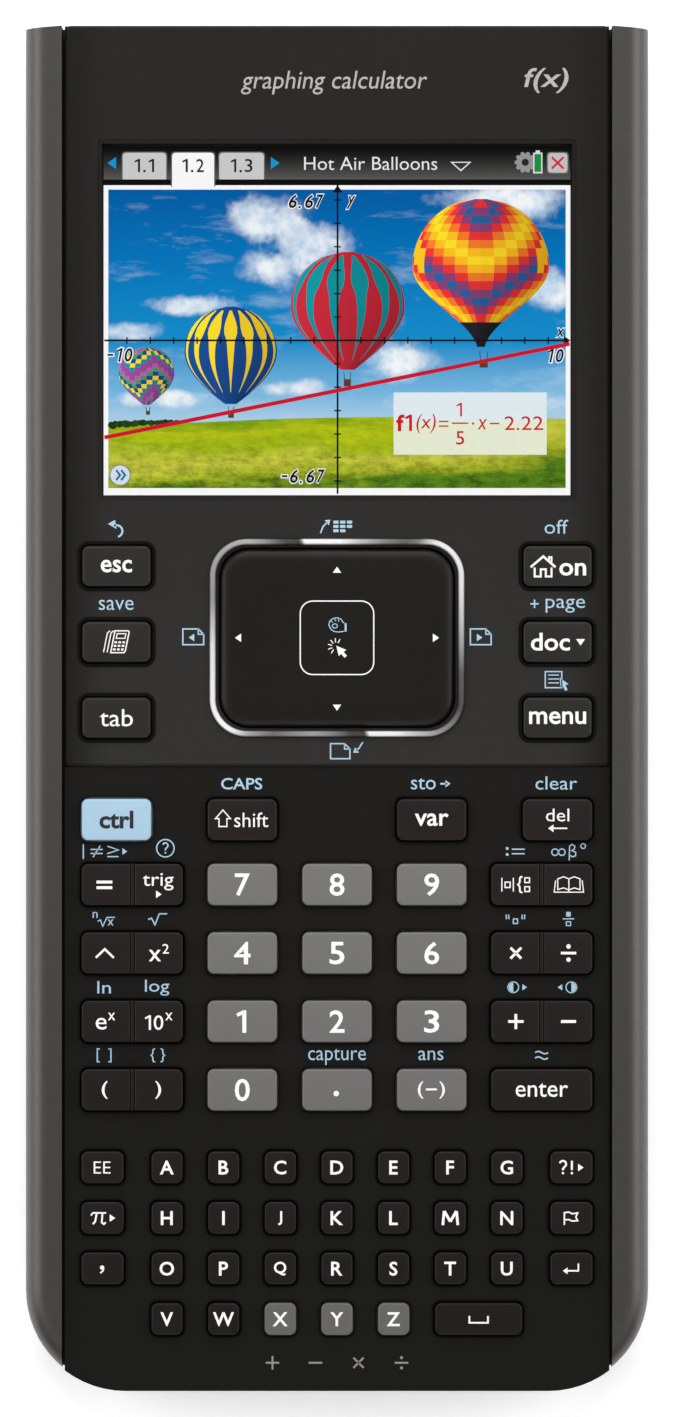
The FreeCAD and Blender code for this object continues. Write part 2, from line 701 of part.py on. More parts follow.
membrane_length = "Size.membrane_high_y - Size.membrane_low_y"
membrane_middle_y = "(Size.membrane_high_y + Size.membrane_low_y) / 2"
membrane_sheet = prism("membrane_blank", "Size.membrane_width", membrane_length, "10", "0",
                       membrane_middle_y, "Size.board_top", "Size.board_top + Size.membrane_thickness", "1")
membrane_window = prism("membrane_window", "Size.pad_flange_width + 1.4", "Size.pad_flange_length + 1.2",
                        "2", "0", "Size.touchpad_y", "Size.board_top - 0.5", "Size.board_top + 3")
dome_spots = [(x, y, "Size.flange_bottom") for _, x, y, _, _, _ in caps]
for _, x, y in rockers:
    for side in ("-", "+"):
        dome_spots.append((f"{x} {side} Size.rocker_dome_x", y, "Size.rocker_flange_bottom"))
domes = []
for index, (x, y, under) in enumerate(dome_spots):
    dome = doc.addObject("Part::Cone", f"dome_{index}")
    dome.setExpression("Radius1", "Size.dome_foot_radius")
    dome.setExpression("Radius2", "Size.dome_head_radius")
    dome_foot = "Size.board_top + Size.membrane_thickness - Size.dome_overlap"
    dome.setExpression("Height", f"{under} - Size.dome_clearance - ({dome_foot})")
    domes.append(place(dome, x, y, dome_foot))
membrane_flat = cut("membrane_flat", membrane_sheet, [membrane_window])
nodes["keypad_membrane"] = joined("keypad_membrane", [membrane_flat] + domes)


# --- Rear housing ------------------------------------------------------------------------------

rear = place(body("rear_shell"), z="Size.floor_bottom")
rear_outline = flat_sketch(rear, "rear_outline")
inset_outline(rear_outline, "0")
rear_pad = pad(rear, "rear_block", rear_outline, "Size.parting - Size.floor_bottom")
dress(rear, "Fillet", "rear_round", rear_pad, "Radius", "Size.rear_edge_round",
      lambda b: b.ZMax < 1e-4 and (b.XLength > 1 or b.YLength > 1))
rear_hollow = flat_sketch(rear, "rear_hollow_outline", "Size.floor_top - Size.floor_bottom")
draw_rounded(rear_hollow, "Size.body_width - 4 * Size.wall", "Size.body_length - 4 * Size.wall",
             "Size.foot_corner - 2 * Size.wall", "Size.head_corner")
pocket(rear, "rear_hollow", rear_hollow, "Size.parting - Size.floor_top + 1", upward=True)

cover_opening_width = "Size.cover_width + 2 * Size.cover_gap"
cover_opening_length = "Size.cover_length + 2 * Size.cover_gap"
bay_frame = prism("bay_frame", f"{cover_opening_width} + 2 * Size.bay_wall",
                  f"{cover_opening_length} + 2 * Size.bay_wall", "Size.cover_corner + Size.bay_wall",
                  "0", "Size.battery_y", "Size.floor_top - 0.3", "Size.bay_top")
cover_opening = prism("cover_opening", cover_opening_width, cover_opening_length, "Size.cover_corner",
                      "0", "Size.battery_y", "0", "Size.bay_top + 1")
post_x = "Size.cover_width / 2 - Size.bay_post / 2"
post_y = "Size.cover_length / 2 - Size.bay_post / 2"
post_spots = [(f"{side}({post_x})", f"Size.battery_y {level} ({post_y})")
              for side in ("-", "") for level in ("-", "+")]
posts = [prism(f"bay_post_{index}", "Size.bay_post + 4 * Size.cover_gap",
               "Size.bay_post + 4 * Size.cover_gap", "0.5", x, y, "Size.floor_top", "Size.bay_top")
         for index, (x, y) in enumerate(post_spots)]
cover_screw_spots = [post_spots[1], post_spots[3]]

seats = []
for index, (x, y) in enumerate(screw_spots):
    seats.append(cylinder(f"seat_{index}", "Size.screw_head_radius + 0.15", "Size.screw_seat",
                          x, y, "0"))
    seats.append(cylinder(f"clearance_{index}", "Size.screw_shank_radius + 0.1", "Size.floor_top + 1",
                          x, y, "0"))
cover_pilots = [cylinder(f"cover_pilot_{index}", "Size.screw_shank_radius + Size.screw_play",
                         "Size.screw_shank_length", x, y, "Size.screw_seat + 0.2")
                for index, (x, y) in enumerate(cover_screw_spots)]

foot_spots = [(f"{side}Size.foot_x", f"Size.foot_{level}_y")
              for side in ("-", "") for level in ("high", "low")]
foot_seats = [cylinder(f"foot_seat_{index}", "Size.foot_radius + 0.05", "Size.foot_recess + 1", x, y,
                       "Size.floor_bottom - 1")
              for index, (x, y) in enumerate(foot_spots)]
usb_opening = box("usb_opening", "Size.usb_width + 0.4", "8", "6", "0", end_y, "Size.usb_bottom - 0.2")
dock_opening = box("dock_opening", "Size.dock_width + 0.3", "Size.dock_depth * 2 + 0.4",
                   "Size.parting", "0", f"-{end_y}", "Size.dock_bottom - 0.15")
reset_hole = cylinder("reset_hole", "Size.reset_hole_radius", "4", "Size.reset_x", "Size.reset_y", "0")

rear_open = cut("rear_open", joined("rear_bay", [rear, bay_frame]), [cover_opening])
rear_blank = joined("rear_blank", [rear_open] + posts)
nodes["rear_housing"] = cut("rear_housing", rear_blank, seats + cover_pilots + foot_seats
                            + [usb_opening, dock_opening, reset_hole])


# --- Battery, its cover, feet and screws -------------------------------------------------------

cover = prism("cover_plate", "Size.cover_width", "Size.cover_length", "Size.cover_corner - Size.cover_gap",
              "0", "Size.battery_y", "Size.floor_bottom", "Size.floor_top")
cover_holes = []
for index, (x, y) in enumerate(cover_screw_spots):
    cover_holes.append(cylinder(f"cover_seat_{index}", "Size.screw_head_radius + 0.15",
                                "Size.screw_seat", x, y, "0"))
    cover_holes.append(cylinder(f"cover_hole_{index}", "Size.screw_shank_radius + 0.1", "4", x, y, "0"))
nodes["battery_cover"] = cut("battery_cover", cover, cover_holes)

nodes["battery_pack"] = prism("battery_pack", "Size.battery_width", "Size.battery_length", "1.5",
                              "0", "Size.battery_y", "Size.battery_bottom", "Size.battery_top")

feet = []
for index, (x, y) in enumerate(foot_spots):
    foot = place(body(f"foot_{index}"), x, y)
    foot_plan = flat_sketch(foot, f"foot_{index}_plan")
    foot_plan.addGeometry(Part.Circle(Vector(0, 0, 0), Vector(0, 0, 1), amount("Size.foot_radius")))
    foot_plan.addConstraint(Sketcher.Constraint("Coincident", 0, 3, -1, 1))
    add_size(foot_plan, "radius", Sketcher.Constraint("Radius", 0, 3.5), "Size.foot_radius")
    foot_pad = pad(foot, f"foot_{index}_pad", foot_plan, "Size.floor_bottom + Size.foot_recess")
    dress(foot, "Fillet", f"foot_{index}_round", foot_pad, "Radius", "0.3", lambda b: b.ZMax < 1e-4)
    feet.append(foot)
nodes["rubber_feet"] = group("rubber_feet", feet)

screws = []
for index, (x, y) in enumerate(screw_spots + cover_screw_spots):
    head = cylinder(f"screw_head_{index}", "Size.screw_head_radius", "Size.screw_head_height", x, y,
                    "Size.screw_seat - Size.screw_head_height")
    shank = cylinder(f"screw_shank_{index}", "Size.screw_shank_radius", "Size.screw_shank_length + 0.1",
                     x, y, "Size.screw_seat - 0.1")
    cross = [box(f"screw_slot_{index}_{turn}", width, depth, "0.8", x, y,
                 "Size.screw_seat - Size.screw_head_height - 0.2")
             for turn, (width, depth) in enumerate((("2.2", "0.5"), ("0.5", "2.2")))]
    screws.append(cut(f"screw_{index}", joined(f"screw_blank_{index}", [head, shank]), cross))
nodes["case_screws"] = group("case_screws", screws)


# --- Sockets and the reset button --------------------------------------------------------------

usb_y = f"{end_y} - 0.6 - Size.usb_depth / 2"
usb_shell = box("usb_shell", "Size.usb_width", "Size.usb_depth", "Size.usb_height", "0", usb_y,
                "Size.usb_bottom")
usb_mouth = box("usb_mouth", "Size.usb_width - 2 * Size.usb_shell", "Size.usb_depth",
                "Size.usb_height - 2 * Size.usb_shell", "0", f"{usb_y} + 1.5",
                "Size.usb_bottom + Size.usb_shell")
usb_tongue = box("usb_tongue", "4.6", "6", "1.1", "0", f"{usb_y} - 0.4",
                 "Size.usb_bottom + Size.usb_height / 2 - 0.2")
nodes["usb_socket"] = joined("usb_socket", [cut("usb_case", usb_shell, [usb_mouth]), usb_tongue])

dock_y = f"Size.dock_depth / 2 + 0.4 - {end_y}"
dock_block = box("dock_block", "Size.dock_width", "Size.dock_depth", "Size.dock_height", "0", dock_y,
                 "Size.dock_bottom")
dock_slot = box("dock_slot", "Size.dock_slot_width", "Size.dock_slot_depth * 2", "Size.dock_slot_height",
                "0", f"0.4 - {end_y}",
                "Size.dock_bottom + (Size.dock_height - Size.dock_slot_height) / 2")
dock_contacts = [box(f"dock_contact_{index}", "1.0", "Size.dock_slot_depth", "0.35",
                     f"{index - 4.5} * Size.dock_contact_pitch",
                     f"0.9 + Size.dock_slot_depth / 2 - {end_y}",
                     "Size.dock_bottom + (Size.dock_height - Size.dock_slot_height) / 2 - 0.05")
                 for index in range(10)]
nodes["dock_connector"] = joined("dock_connector",
                                 [cut("dock_case", dock_block, [dock_slot])] + dock_contacts)

reset_flange_low = "Size.floor_top + 0.1"
reset_top = "Size.board_bottom - 1.5"
nodes["reset_button"] = joined("reset_button", [
    cylinder("reset_stem", "Size.reset_stem_radius", f"{reset_top} - Size.floor_bottom - 0.6",
             "Size.reset_x", "Size.reset_y", "Size.floor_bottom + 0.6"),
    cylinder("reset_flange", "Size.reset_flange_radius", "0.6", "Size.reset_x", "Size.reset_y",
             reset_flange_low),
])


# --- Check and export --------------------------------------------------------------------------

doc.recompute()
failed = [item.Label for item in doc.Objects if set(item.State) & {"Invalid", "Error"}]
if failed:
    raise RuntimeError(f"these objects did not compute: {failed}")

os.makedirs("parts", exist_ok=True)
for old in os.listdir("parts"):
    if old.endswith(".step") and old[:-5] not in nodes:
        os.remove(os.path.join("parts", old))
unsound = [node for node, item in nodes.items()
           if item.Shape.isNull() or not item.Shape.isValid() or not item.Shape.Solids]
if unsound:
    raise RuntimeError(f"these nodes have no valid solid: {unsound}")
for node, item in nodes.items():
    item.Shape.exportStep(os.path.join("parts", f"{node}.step"))
print(f"{len(nodes)} nodes written")
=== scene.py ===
import math
import random

import bmesh
import bpy
from mathutils import Matrix, Vector


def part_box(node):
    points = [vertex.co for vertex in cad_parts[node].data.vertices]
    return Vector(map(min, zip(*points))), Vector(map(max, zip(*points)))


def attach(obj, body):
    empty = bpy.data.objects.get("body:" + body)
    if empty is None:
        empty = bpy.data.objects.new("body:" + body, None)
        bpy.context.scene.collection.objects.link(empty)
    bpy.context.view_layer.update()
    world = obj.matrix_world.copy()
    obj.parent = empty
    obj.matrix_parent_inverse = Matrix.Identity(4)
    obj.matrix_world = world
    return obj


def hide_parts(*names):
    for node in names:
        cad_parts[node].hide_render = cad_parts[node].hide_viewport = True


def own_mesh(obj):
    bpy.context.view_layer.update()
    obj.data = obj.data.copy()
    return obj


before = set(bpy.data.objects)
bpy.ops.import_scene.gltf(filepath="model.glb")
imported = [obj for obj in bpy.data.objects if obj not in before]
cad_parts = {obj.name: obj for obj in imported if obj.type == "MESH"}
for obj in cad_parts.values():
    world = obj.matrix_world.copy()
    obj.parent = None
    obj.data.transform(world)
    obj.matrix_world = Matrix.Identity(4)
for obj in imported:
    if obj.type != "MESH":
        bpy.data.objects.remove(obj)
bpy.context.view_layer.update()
print("frame loaded,", len(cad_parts), "nodes")

# Lengths of meshes are in millimetres and become metres when a mesh is made.
toMetres = 0.001


def linear(value):
    value /= 255
    return value / 12.92 if value <= 0.04045 else ((value + 0.055) / 1.055) ** 2.4


def paint(red, green, blue):
    return (linear(red), linear(green), linear(blue), 1.0)


def grey(level):
    return (level, level, level, 1.0)


def dim(colour, share):
    return tuple(c * share for c in colour[:3]) + (1.0,)


# node helpers

def addNode(tree, kind, inputs, **settings):
    # inputs are plain values or outputs of other nodes, by the socket's name or number
    node = tree.nodes.new("ShaderNode" + kind)
    for name, value in settings.items():
        setattr(node, name, value)
    for key, value in inputs.items():
        if hasattr(value, "links"):
            tree.links.new(value, node.inputs[key])
        else:
            node.inputs[key].default_value = value
    return node


def mathNode(tree, operation, first, second=0.0, third=0.0):
    return addNode(tree, "Math", {0: first, 1: second, 2: third}, operation=operation).outputs[0]


def mixColours(tree, factor, first, second, blend="MIX"):
    inputs = {0: factor, 6: first, 7: second}
    return addNode(tree, "Mix", inputs, data_type="RGBA", blend_type=blend).outputs[2]


def scaleColour(tree, colour, level):
    return addNode(tree, "VectorMath", {0: colour, "Scale": level}, operation="SCALE").outputs[0]


def rampNode(tree, factor, stops):
    # stops are pairs of a place and a colour or a level of grey
    node = addNode(tree, "ValToRGB", {0: factor})
    ramp = node.color_ramp
    while len(ramp.elements) < len(stops):
        ramp.elements.new(0.5)
    for element, (place, colour) in zip(ramp.elements, stops):
        element.position = place
        element.color = colour if isinstance(colour, tuple) else grey(colour)
    return node.outputs[0]


def rangeNode(tree, value, low, high, start=0.0, end=1.0, shape="LINEAR"):
    inputs = {"Value": value, "From Min": low, "From Max": high, "To Min": start, "To Max": end}
    return addNode(tree, "MapRange", inputs, interpolation_type=shape).outputs[0]


def coordinates(tree, kind="Object"):
    return addNode(tree, "TexCoord", {}).outputs[kind]


def splitAxes(tree, vector):
    return addNode(tree, "SeparateXYZ", {0: vector}).outputs


def noiseNode(tree, vector, scale, detail=2.0, roughness=0.5, stretch=None):
    if stretch:
        vector = addNode(tree, "Mapping", {"Vector": vector, "Scale": stretch}).outputs[0]
    inputs = {"Vector": vector, "Scale": scale, "Detail": detail, "Roughness": roughness}
    return addNode(tree, "TexNoise", inputs).outputs["Fac"]


def newGroup(name, inputs, outputs):
    # inputs gives each socket's first value, outputs each socket's kind
    group = bpy.data.node_groups.new(name, "ShaderNodeTree")
    for label, value in inputs.items():
        kind = "Float" if isinstance(value, float) else "Vector" if len(value) == 3 else "Color"
        socket = group.interface.new_socket(label, in_out="INPUT", socket_type="NodeSocket" + kind)
        socket.default_value = value
    for label, kind in outputs.items():
        group.interface.new_socket(label, in_out="OUTPUT", socket_type="NodeSocket" + kind)
    entry, leave = (group.nodes.new("NodeGroup" + side) for side in ("Input", "Output"))
    return group, entry.outputs, leave.inputs


def feed(tree, sockets, **values):
    for label, value in values.items():
        tree.links.new(value, sockets[label.replace("_", " ")])


# shared effects

def buildMouldedGrain():
    # fine texture of a moulded plastic face, with slow drifts in tone and gloss
    group, given, result = newGroup(
        "mouldedGrain", {"Color": grey(0.5), "Grain": 1500.0, "Drift": 0.15, "Gloss": 0.4},
        {"Color": "Color", "Roughness": "Float", "Height": "Float"})
    place = coordinates(group)
    fine = noiseNode(group, place, given["Grain"], 3.0, 0.6)
    slow = noiseNode(group, place, 55.0)
    swing, speck = (mathNode(group, "MULTIPLY", mathNode(group, "SUBTRACT", noise, 0.5), given["Drift"])
                    for noise in (slow, fine))
    level = mathNode(group, "ADD", mathNode(group, "ADD", swing, speck), 1.0)
    lift = mathNode(group, "MULTIPLY", mathNode(group, "SUBTRACT", fine, 0.5), 0.12)
    feed(group, result, Color=scaleColour(group, given["Color"], level),
         Roughness=mathNode(group, "ADD", given["Gloss"], lift), Height=fine)
    return group


def buildPaintedLightFade():
    # painted light and shade: a tone that falls off towards two opposite edges and drifts along the length,
    # standing in for how the light falls across the case
    group, given, result = newGroup(
        "sideFade", {"Middle": grey(0.5), "Edge": grey(0.2), "Far": grey(0.4), "Start": 0.03, "End": 0.04,
                     "Low": 0.0, "High": 0.1}, {"Color": "Color"})
    axes = splitAxes(group, coordinates(group))
    side = rangeNode(group, mathNode(group, "ABSOLUTE", axes["X"]), given["Start"], given["End"],
                     shape="SMOOTHSTEP")
    along = rangeNode(group, axes["Y"], given["Low"], given["High"])
    body = mixColours(group, along, given["Middle"], given["Far"])
    feed(group, result, Color=mixColours(group, side, body, given["Edge"]))
    return group


def buildEdgeShade():
    # painted shade: darkens the rounded edges round a face that looks up, where the light leaves them in
    # shade
    group, given, result = newGroup("edgeShade", {"Color": grey(0.5), "Rim": 1.0}, {"Color": "Color"})
    upward = splitAxes(group, coordinates(group, "Normal"))["Z"]
    flat = rangeNode(group, upward, 0.72, 0.985, start=given["Rim"], shape="SMOOTHSTEP")
    feed(group, result, Color=scaleColour(group, given["Color"], flat))
    return group


def buildFlakes():
    # tiny bright flakes of a metallic paint
    group, given, result = newGroup("paintFlakes", {"Color": grey(0.5), "Size": 3500.0, "Amount": 0.3},
                                    {"Color": "Color", "Mask": "Float"})
    cells = addNode(group, "TexVoronoi", {"Vector": coordinates(group), "Scale": given["Size"]}, feature="F1")
    chance = addNode(group, "SeparateColor", {0: cells.outputs["Color"]}).outputs[0]
    mask = mathNode(group, "POWER", chance, 3.0)
    level = mathNode(group, "ADD", mathNode(group, "MULTIPLY", mask, given["Amount"]), 1.0)
    feed(group, result, Color=scaleColour(group, given["Color"], level), Mask=mask)
    return group


def buildCloudBank():
    # one soft bank of cloud: a stretched blob broken up by noise
    group, given, result = newGroup(
        "cloudBank", {"Middle": (0.0, 0.0, 0.0), "Spread": (1.0, 1.0, 1.0), "Grain": 140.0},
        {"Mask": "Float"})
    place = coordinates(group)
    shift = addNode(group, "VectorMath", {0: place, 1: given["Middle"]}, operation="SUBTRACT").outputs[0]
    scaled = addNode(group, "VectorMath", {0: shift, 1: given["Spread"]}, operation="DIVIDE").outputs[0]
    far = addNode(group, "VectorMath", {0: scaled}, operation="LENGTH").outputs["Value"]
    puff = noiseNode(group, place, given["Grain"], 8.0, 0.62)
    body = mathNode(group, "SUBTRACT", 1.0, far)
    thick = mathNode(group, "ADD", mathNode(group, "MULTIPLY", body, 0.55), puff)
    feed(group, result, Mask=rangeNode(group, thick, 0.56, 0.92, shape="SMOOTHSTEP"))
    return group


mouldedGrain = buildMouldedGrain()
sideFade = buildPaintedLightFade()
edgeShade = buildEdgeShade()
paintFlakes = buildFlakes()
cloudBank = buildCloudBank()
print("shared effects built")


# materials

def useGroup(tree, group, **values):
    return addNode(tree, "Group", values, node_tree=group)


def startMaterial(name, **shader):
    material = bpy.data.materials.new(name)
    material.use_nodes = True
    tree = material.node_tree
    main = tree.nodes["Principled BSDF"]
    for label, value in shader.items():
        main.inputs[label.replace("_", " ")].default_value = value
    return material, tree, main


def addBump(tree, main, height, strength, distance):
    inputs = {"Strength": strength, "Distance": distance, "Height": height}
    feed(tree, main.inputs, Normal=addNode(tree, "Bump", inputs).outputs[0])


def plastic(name, colour, gloss=0.4, grain=1500.0, drift=0.15, bump=0.12, sheen=0.4, paintedLight=None, edgeShadeLevel=1.0):
    # colour is red, green and blue out of 255, and a fade of painted light and shade takes its place where
    # the tone drifts
    material, tree, main = startMaterial(name, Specular_IOR_Level=sheen)
    tone = useGroup(tree, sideFade, **paintedLight).outputs[0] if paintedLight else paint(*colour)
    skin = useGroup(tree, mouldedGrain, Color=tone, Grain=grain, Drift=drift, Gloss=gloss)
    # painted shade on a cap's rounded edges, where a level under one is given
    face = useGroup(tree, edgeShade, Color=skin.outputs["Color"], Rim=edgeShadeLevel) if edgeShadeLevel < 1.0 else skin
    feed(tree, main.inputs, Base_Color=face.outputs["Color"], Roughness=skin.outputs["Roughness"])
    addBump(tree, main, skin.outputs["Height"], bump, 0.00006)
    return material


def metallicPaint(name, metal, gloss, paintedLight, drift=0.12, sheen=0.5):
    material, tree, main = startMaterial(name, Metallic=metal, Specular_IOR_Level=sheen)
    # the fade is painted light and shade
    tone = useGroup(tree, sideFade, **paintedLight).outputs[0]
    flakes = useGroup(tree, paintFlakes, Color=tone, Size=4200.0, Amount=0.12)
    skin = useGroup(tree, mouldedGrain, Color=flakes.outputs["Color"], Grain=900.0, Drift=drift, Gloss=gloss)
    feed(tree, main.inputs, Base_Color=skin.outputs["Color"], Roughness=skin.outputs["Roughness"])
    addBump(tree, main, flakes.outputs["Mask"], 0.06, 0.00003)
    return material


def brushedMetal(name, colour, gloss=0.32):
    material, tree, main = startMaterial(name, Metallic=1.0)
    streaks = noiseNode(tree, coordinates(tree), 160.0, 3.0, 0.6, (1.0, 40.0, 40.0))
    rough = mathNode(tree, "ADD", mathNode(tree, "MULTIPLY", streaks, 0.2), gloss - 0.1)
    feed(tree, main.inputs, Base_Color=mixColours(tree, streaks, dim(colour, 0.8), colour), Roughness=rough)
    addBump(tree, main, streaks, 0.15, 0.00003)
    return material


ringPaintedHighlights = [  # place round the ring and brightness of the highlights and reflections painted into its plating
    (0.0, 1.0), (0.055, 1.0), (0.09, 0.55), (0.124, 0.25), (0.151, 0.12), (0.164, 0.22), (0.182, 0.93),
    (0.24, 0.8), (0.29, 0.5), (0.345, 0.12), (0.385, 0.08), (0.42, 0.3), (0.443, 0.58), (0.466, 0.94),
    (0.5, 0.95), (0.506, 0.05), (0.53, 0.06), (0.567, 0.28), (0.593, 0.38), (0.646, 0.16), (0.669, 0.37),
    (0.69, 1.0), (0.79, 0.8), (0.85, 0.3), (0.935, 0.47), (0.958, 0.2), (0.971, 0.08), (0.995, 0.05),
    (1.0, 0.95)]


def paintedHighlightChrome(name):
    # polished ring with painted highlights: a sweep of painted light and dark in its plating's colour, bright
    # in two sweeps, one at each long side
    material, tree, main = startMaterial(name, Metallic=0.3, Specular_IOR_Level=0.6)
    place = coordinates(tree)
    axes = splitAxes(tree, place)
    low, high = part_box("touchpad_ring")
    down = mathNode(tree, "MULTIPLY", mathNode(tree, "SUBTRACT", axes["Y"], (low.y + high.y) / 2), -1.0)
    across = mathNode(tree, "MULTIPLY", axes["X"], -1.0)
    turn = mathNode(tree, "ARCTAN2", across, down)  # zero at the far side, growing clockwise
    part = mathNode(tree, "FRACT", mathNode(tree, "ADD", mathNode(tree, "DIVIDE", turn, math.tau), 1.552))
    haze = noiseNode(tree, place, 900.0)
    feed(tree, main.inputs, Base_Color=rampNode(tree, part, ringPaintedHighlights),
         Roughness=mathNode(tree, "ADD", mathNode(tree, "MULTIPLY", haze, 0.08), 0.3))
    return material


def inkMaterial(name, colour, scale=2500.0, floor=0.93):
    material, tree, main = startMaterial(name, Specular_IOR_Level=0.2)
    mottle = noiseNode(tree, coordinates(tree), scale)
    feed(tree, main.inputs, Base_Color=mixColours(tree, mottle, dim(colour, floor), colour),
         Roughness=mathNode(tree, "ADD", mathNode(tree, "MULTIPLY", mottle, 0.1), 0.5))
    return material


def litMaterial(name, source):
    # a lit area of the display: the colour comes from source(tree) and glows by itself
    material, tree, main = startMaterial(name, Base_Color=grey(0.0), Roughness=0.6, Specular_IOR_Level=0.0,
                                         Emission_Strength=1.17)
    feed(tree, main.inputs, Emission_Color=source(tree))
    return material


def tintSource(tree):
    # each shape's own colour with a faint mottle
    tint = addNode(tree, "VertexColor", {}, layer_name="tint").outputs["Color"]
    mottle = rampNode(tree, noiseNode(tree, coordinates(tree), 1400.0, 3.0), [(0.3, 0.98), (0.7, 1.02)])
    return mixColours(tree, 1.0, tint, mottle, "MULTIPLY")


def paintedLightTones(middle, far, edge, side, along):
    # side and along are where the painted light and shade change the tone across and along the case, in
    # metres
    return {"Middle": paint(*middle), "Far": paint(*far), "Edge": paint(*edge), "Start": side[0],
            "End": side[1], "Low": along[0], "High": along[1]}


keySide = (0.06, 0.07)
skins = {
    # the fades are painted light and shade: painted shade darkens the fascia and the front panel towards
    # their sides, the fascia towards its top end, and the panel, the rails and the keys towards the bottom of
    # the case; a painted highlight brightens the rails' rounded outer edges
    "fascia": metallicPaint("fasciaPaint", 0.0, 0.45, sheen=0.12, paintedLight=paintedLightTones(
        (43, 42, 40), (32, 31, 29), (24, 23, 22), (0.031, 0.0385), (0.0, 0.07))),
    "panel": plastic("panelPlastic", None, gloss=0.48, grain=1700.0, sheen=0.11, paintedLight=paintedLightTones(
        (19, 19, 17), (23, 22, 20), (17, 17, 16), (0.033, 0.0395), (-0.08, 0.0))),
    "rail": metallicPaint("railPaint", 0.3, 0.4, drift=0.05, paintedLight=paintedLightTones(
        (63, 62, 60), (68, 67, 65), (84, 83, 81), (0.0412, 0.0425), (-0.06, 0.03))),
    "rear": plastic("rearPlastic", (38, 38, 37), gloss=0.5, grain=1300.0, bump=0.35, drift=0.2),
    "cover": plastic("coverPlastic", (42, 42, 41), gloss=0.48, grain=1300.0, bump=0.35, drift=0.2),
    # the upper and dark keys' caps get painted shade on their rounded edges
    "upperKey": plastic("upperKeyPlastic", (39, 37, 34), gloss=0.42, sheen=0.2, edgeShadeLevel=0.3),
    "blueKey": plastic("blueKeyPlastic", (161, 191, 212), gloss=0.42, drift=0.05),
    "darkKey": plastic("darkKeyPlastic", None, gloss=0.42, sheen=0.18, edgeShadeLevel=0.6, paintedLight=paintedLightTones(
        (25, 20, 20), (32, 26, 26), (25, 20, 20), keySide, (-0.086, -0.015))),
    "greyKey": plastic("greyKeyPlastic", None, gloss=0.42, drift=0.06, paintedLight=paintedLightTones(
        (101, 100, 98), (109, 108, 106), (101, 100, 98), keySide, (-0.056, -0.022))),
    "dimKey": plastic("dimKeyPlastic", (92, 91, 89), gloss=0.42, drift=0.06),
    # near black: a painted shadow in the gaps round the keys
    "trim": plastic("keyWellPlastic", (9, 9, 8), gloss=0.6, sheen=0.08),
    "pad": plastic("padPlastic", (25, 24, 22), gloss=0.38, grain=2600.0, sheen=0.17, bump=0.08),
    "rubber": plastic("footRubber", (30, 30, 30), gloss=0.7, grain=2200.0, bump=0.4, sheen=0.2),
    "membrane": plastic("membraneRubber", (96, 98, 100), gloss=0.65, grain=900.0, bump=0.2),
    "board": plastic("boardGreen", (26, 84, 52), gloss=0.35, grain=600.0, drift=0.3),
    "wrap": plastic("batteryWrap", (52, 66, 92), gloss=0.3, grain=700.0),
    "film": plastic("ribbonFilm", (176, 122, 52), gloss=0.3, grain=700.0),
    "frame": plastic("displayFrame", (22, 22, 22), gloss=0.5),
    "dock": plastic("dockPlastic", (26, 26, 26), gloss=0.45),
    "label": plastic("labelPlate", (70, 70, 69), gloss=0.35, grain=500.0, drift=0.08, bump=0.05),
    "reset": plastic("resetPlastic", (170, 170, 164), gloss=0.5),
    # the ring's highlights and reflections are painted into its colour
    "chrome": paintedHighlightChrome("ringChromePaintedHighlights"),
    "steel": brushedMetal("screwSteel", paint(120, 120, 122)),
    "nickel": brushedMetal("socketNickel", paint(190, 190, 194)),
    "silverInk": inkMaterial("silverInk", paint(186, 185, 182), 700.0, 0.62),
    "greyInk": inkMaterial("greyInk", paint(136, 134, 128)),
    "whiteInk": inkMaterial("whiteInk", paint(240, 240, 238)),
    "blueInk": inkMaterial("blueInk", paint(166, 198, 219)),
    "darkInk": inkMaterial("darkInk", paint(40, 42, 48)),
    "lit": litMaterial("litShapes", tintSource),
}
for node, skin in {"front_housing": "panel", "upper_fascia": "fascia", "left_side_rail": "rail",
                   "right_side_rail": "rail", "rear_housing": "rear", "battery_cover": "cover",
                   "rubber_feet": "rubber", "case_screws": "steel", "usb_socket": "nickel",
                   "dock_connector": "dock", "reset_button": "reset", "touchpad_stiffener": "steel",
                   "touchpad_plunger": "reset", "battery_pack": "wrap", "keypad_membrane": "membrane",
                   "main_circuit_board": "board", "display_ribbon_cable": "film",
                   "display_module": "frame"}.items():
    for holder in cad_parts[node].material_slots:
        holder.material = skins[skin]
print("materials built")


# mesh helpers

sharpAngle = math.radians(38.0)


def finishMesh(name, bm, material, body, slot, replaced=()):
    bmesh.ops.remove_doubles(bm, verts=bm.verts, dist=1e-4)
    bmesh.ops.recalc_face_normals(bm, faces=bm.faces)
    for face in bm.faces:
        face.smooth = True
    for edge in bm.edges:
        edge.smooth = edge.calc_face_angle(0.0) < sharpAngle
    bm.transform(Matrix.Scale(toMetres, 4))
    mesh = bpy.data.meshes.new(name)
    bm.to_mesh(mesh)
    bm.free()
    mesh.materials.append(material)
    piece = bpy.data.objects.new(name, mesh)
    bpy.context.scene.collection.objects.link(piece)
    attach(piece, body)
    if replaced:
        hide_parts(*replaced)
    return piece


def prism(bm, outline, heights):
    loft(bm, [[(x, y, z) for x, y in outline] for z in heights])


def circle(x, y, radius, steps):
    return [(x + radius * math.cos(math.tau * i / steps), y + radius * math.sin(math.tau * i / steps))
            for i in range(steps)]


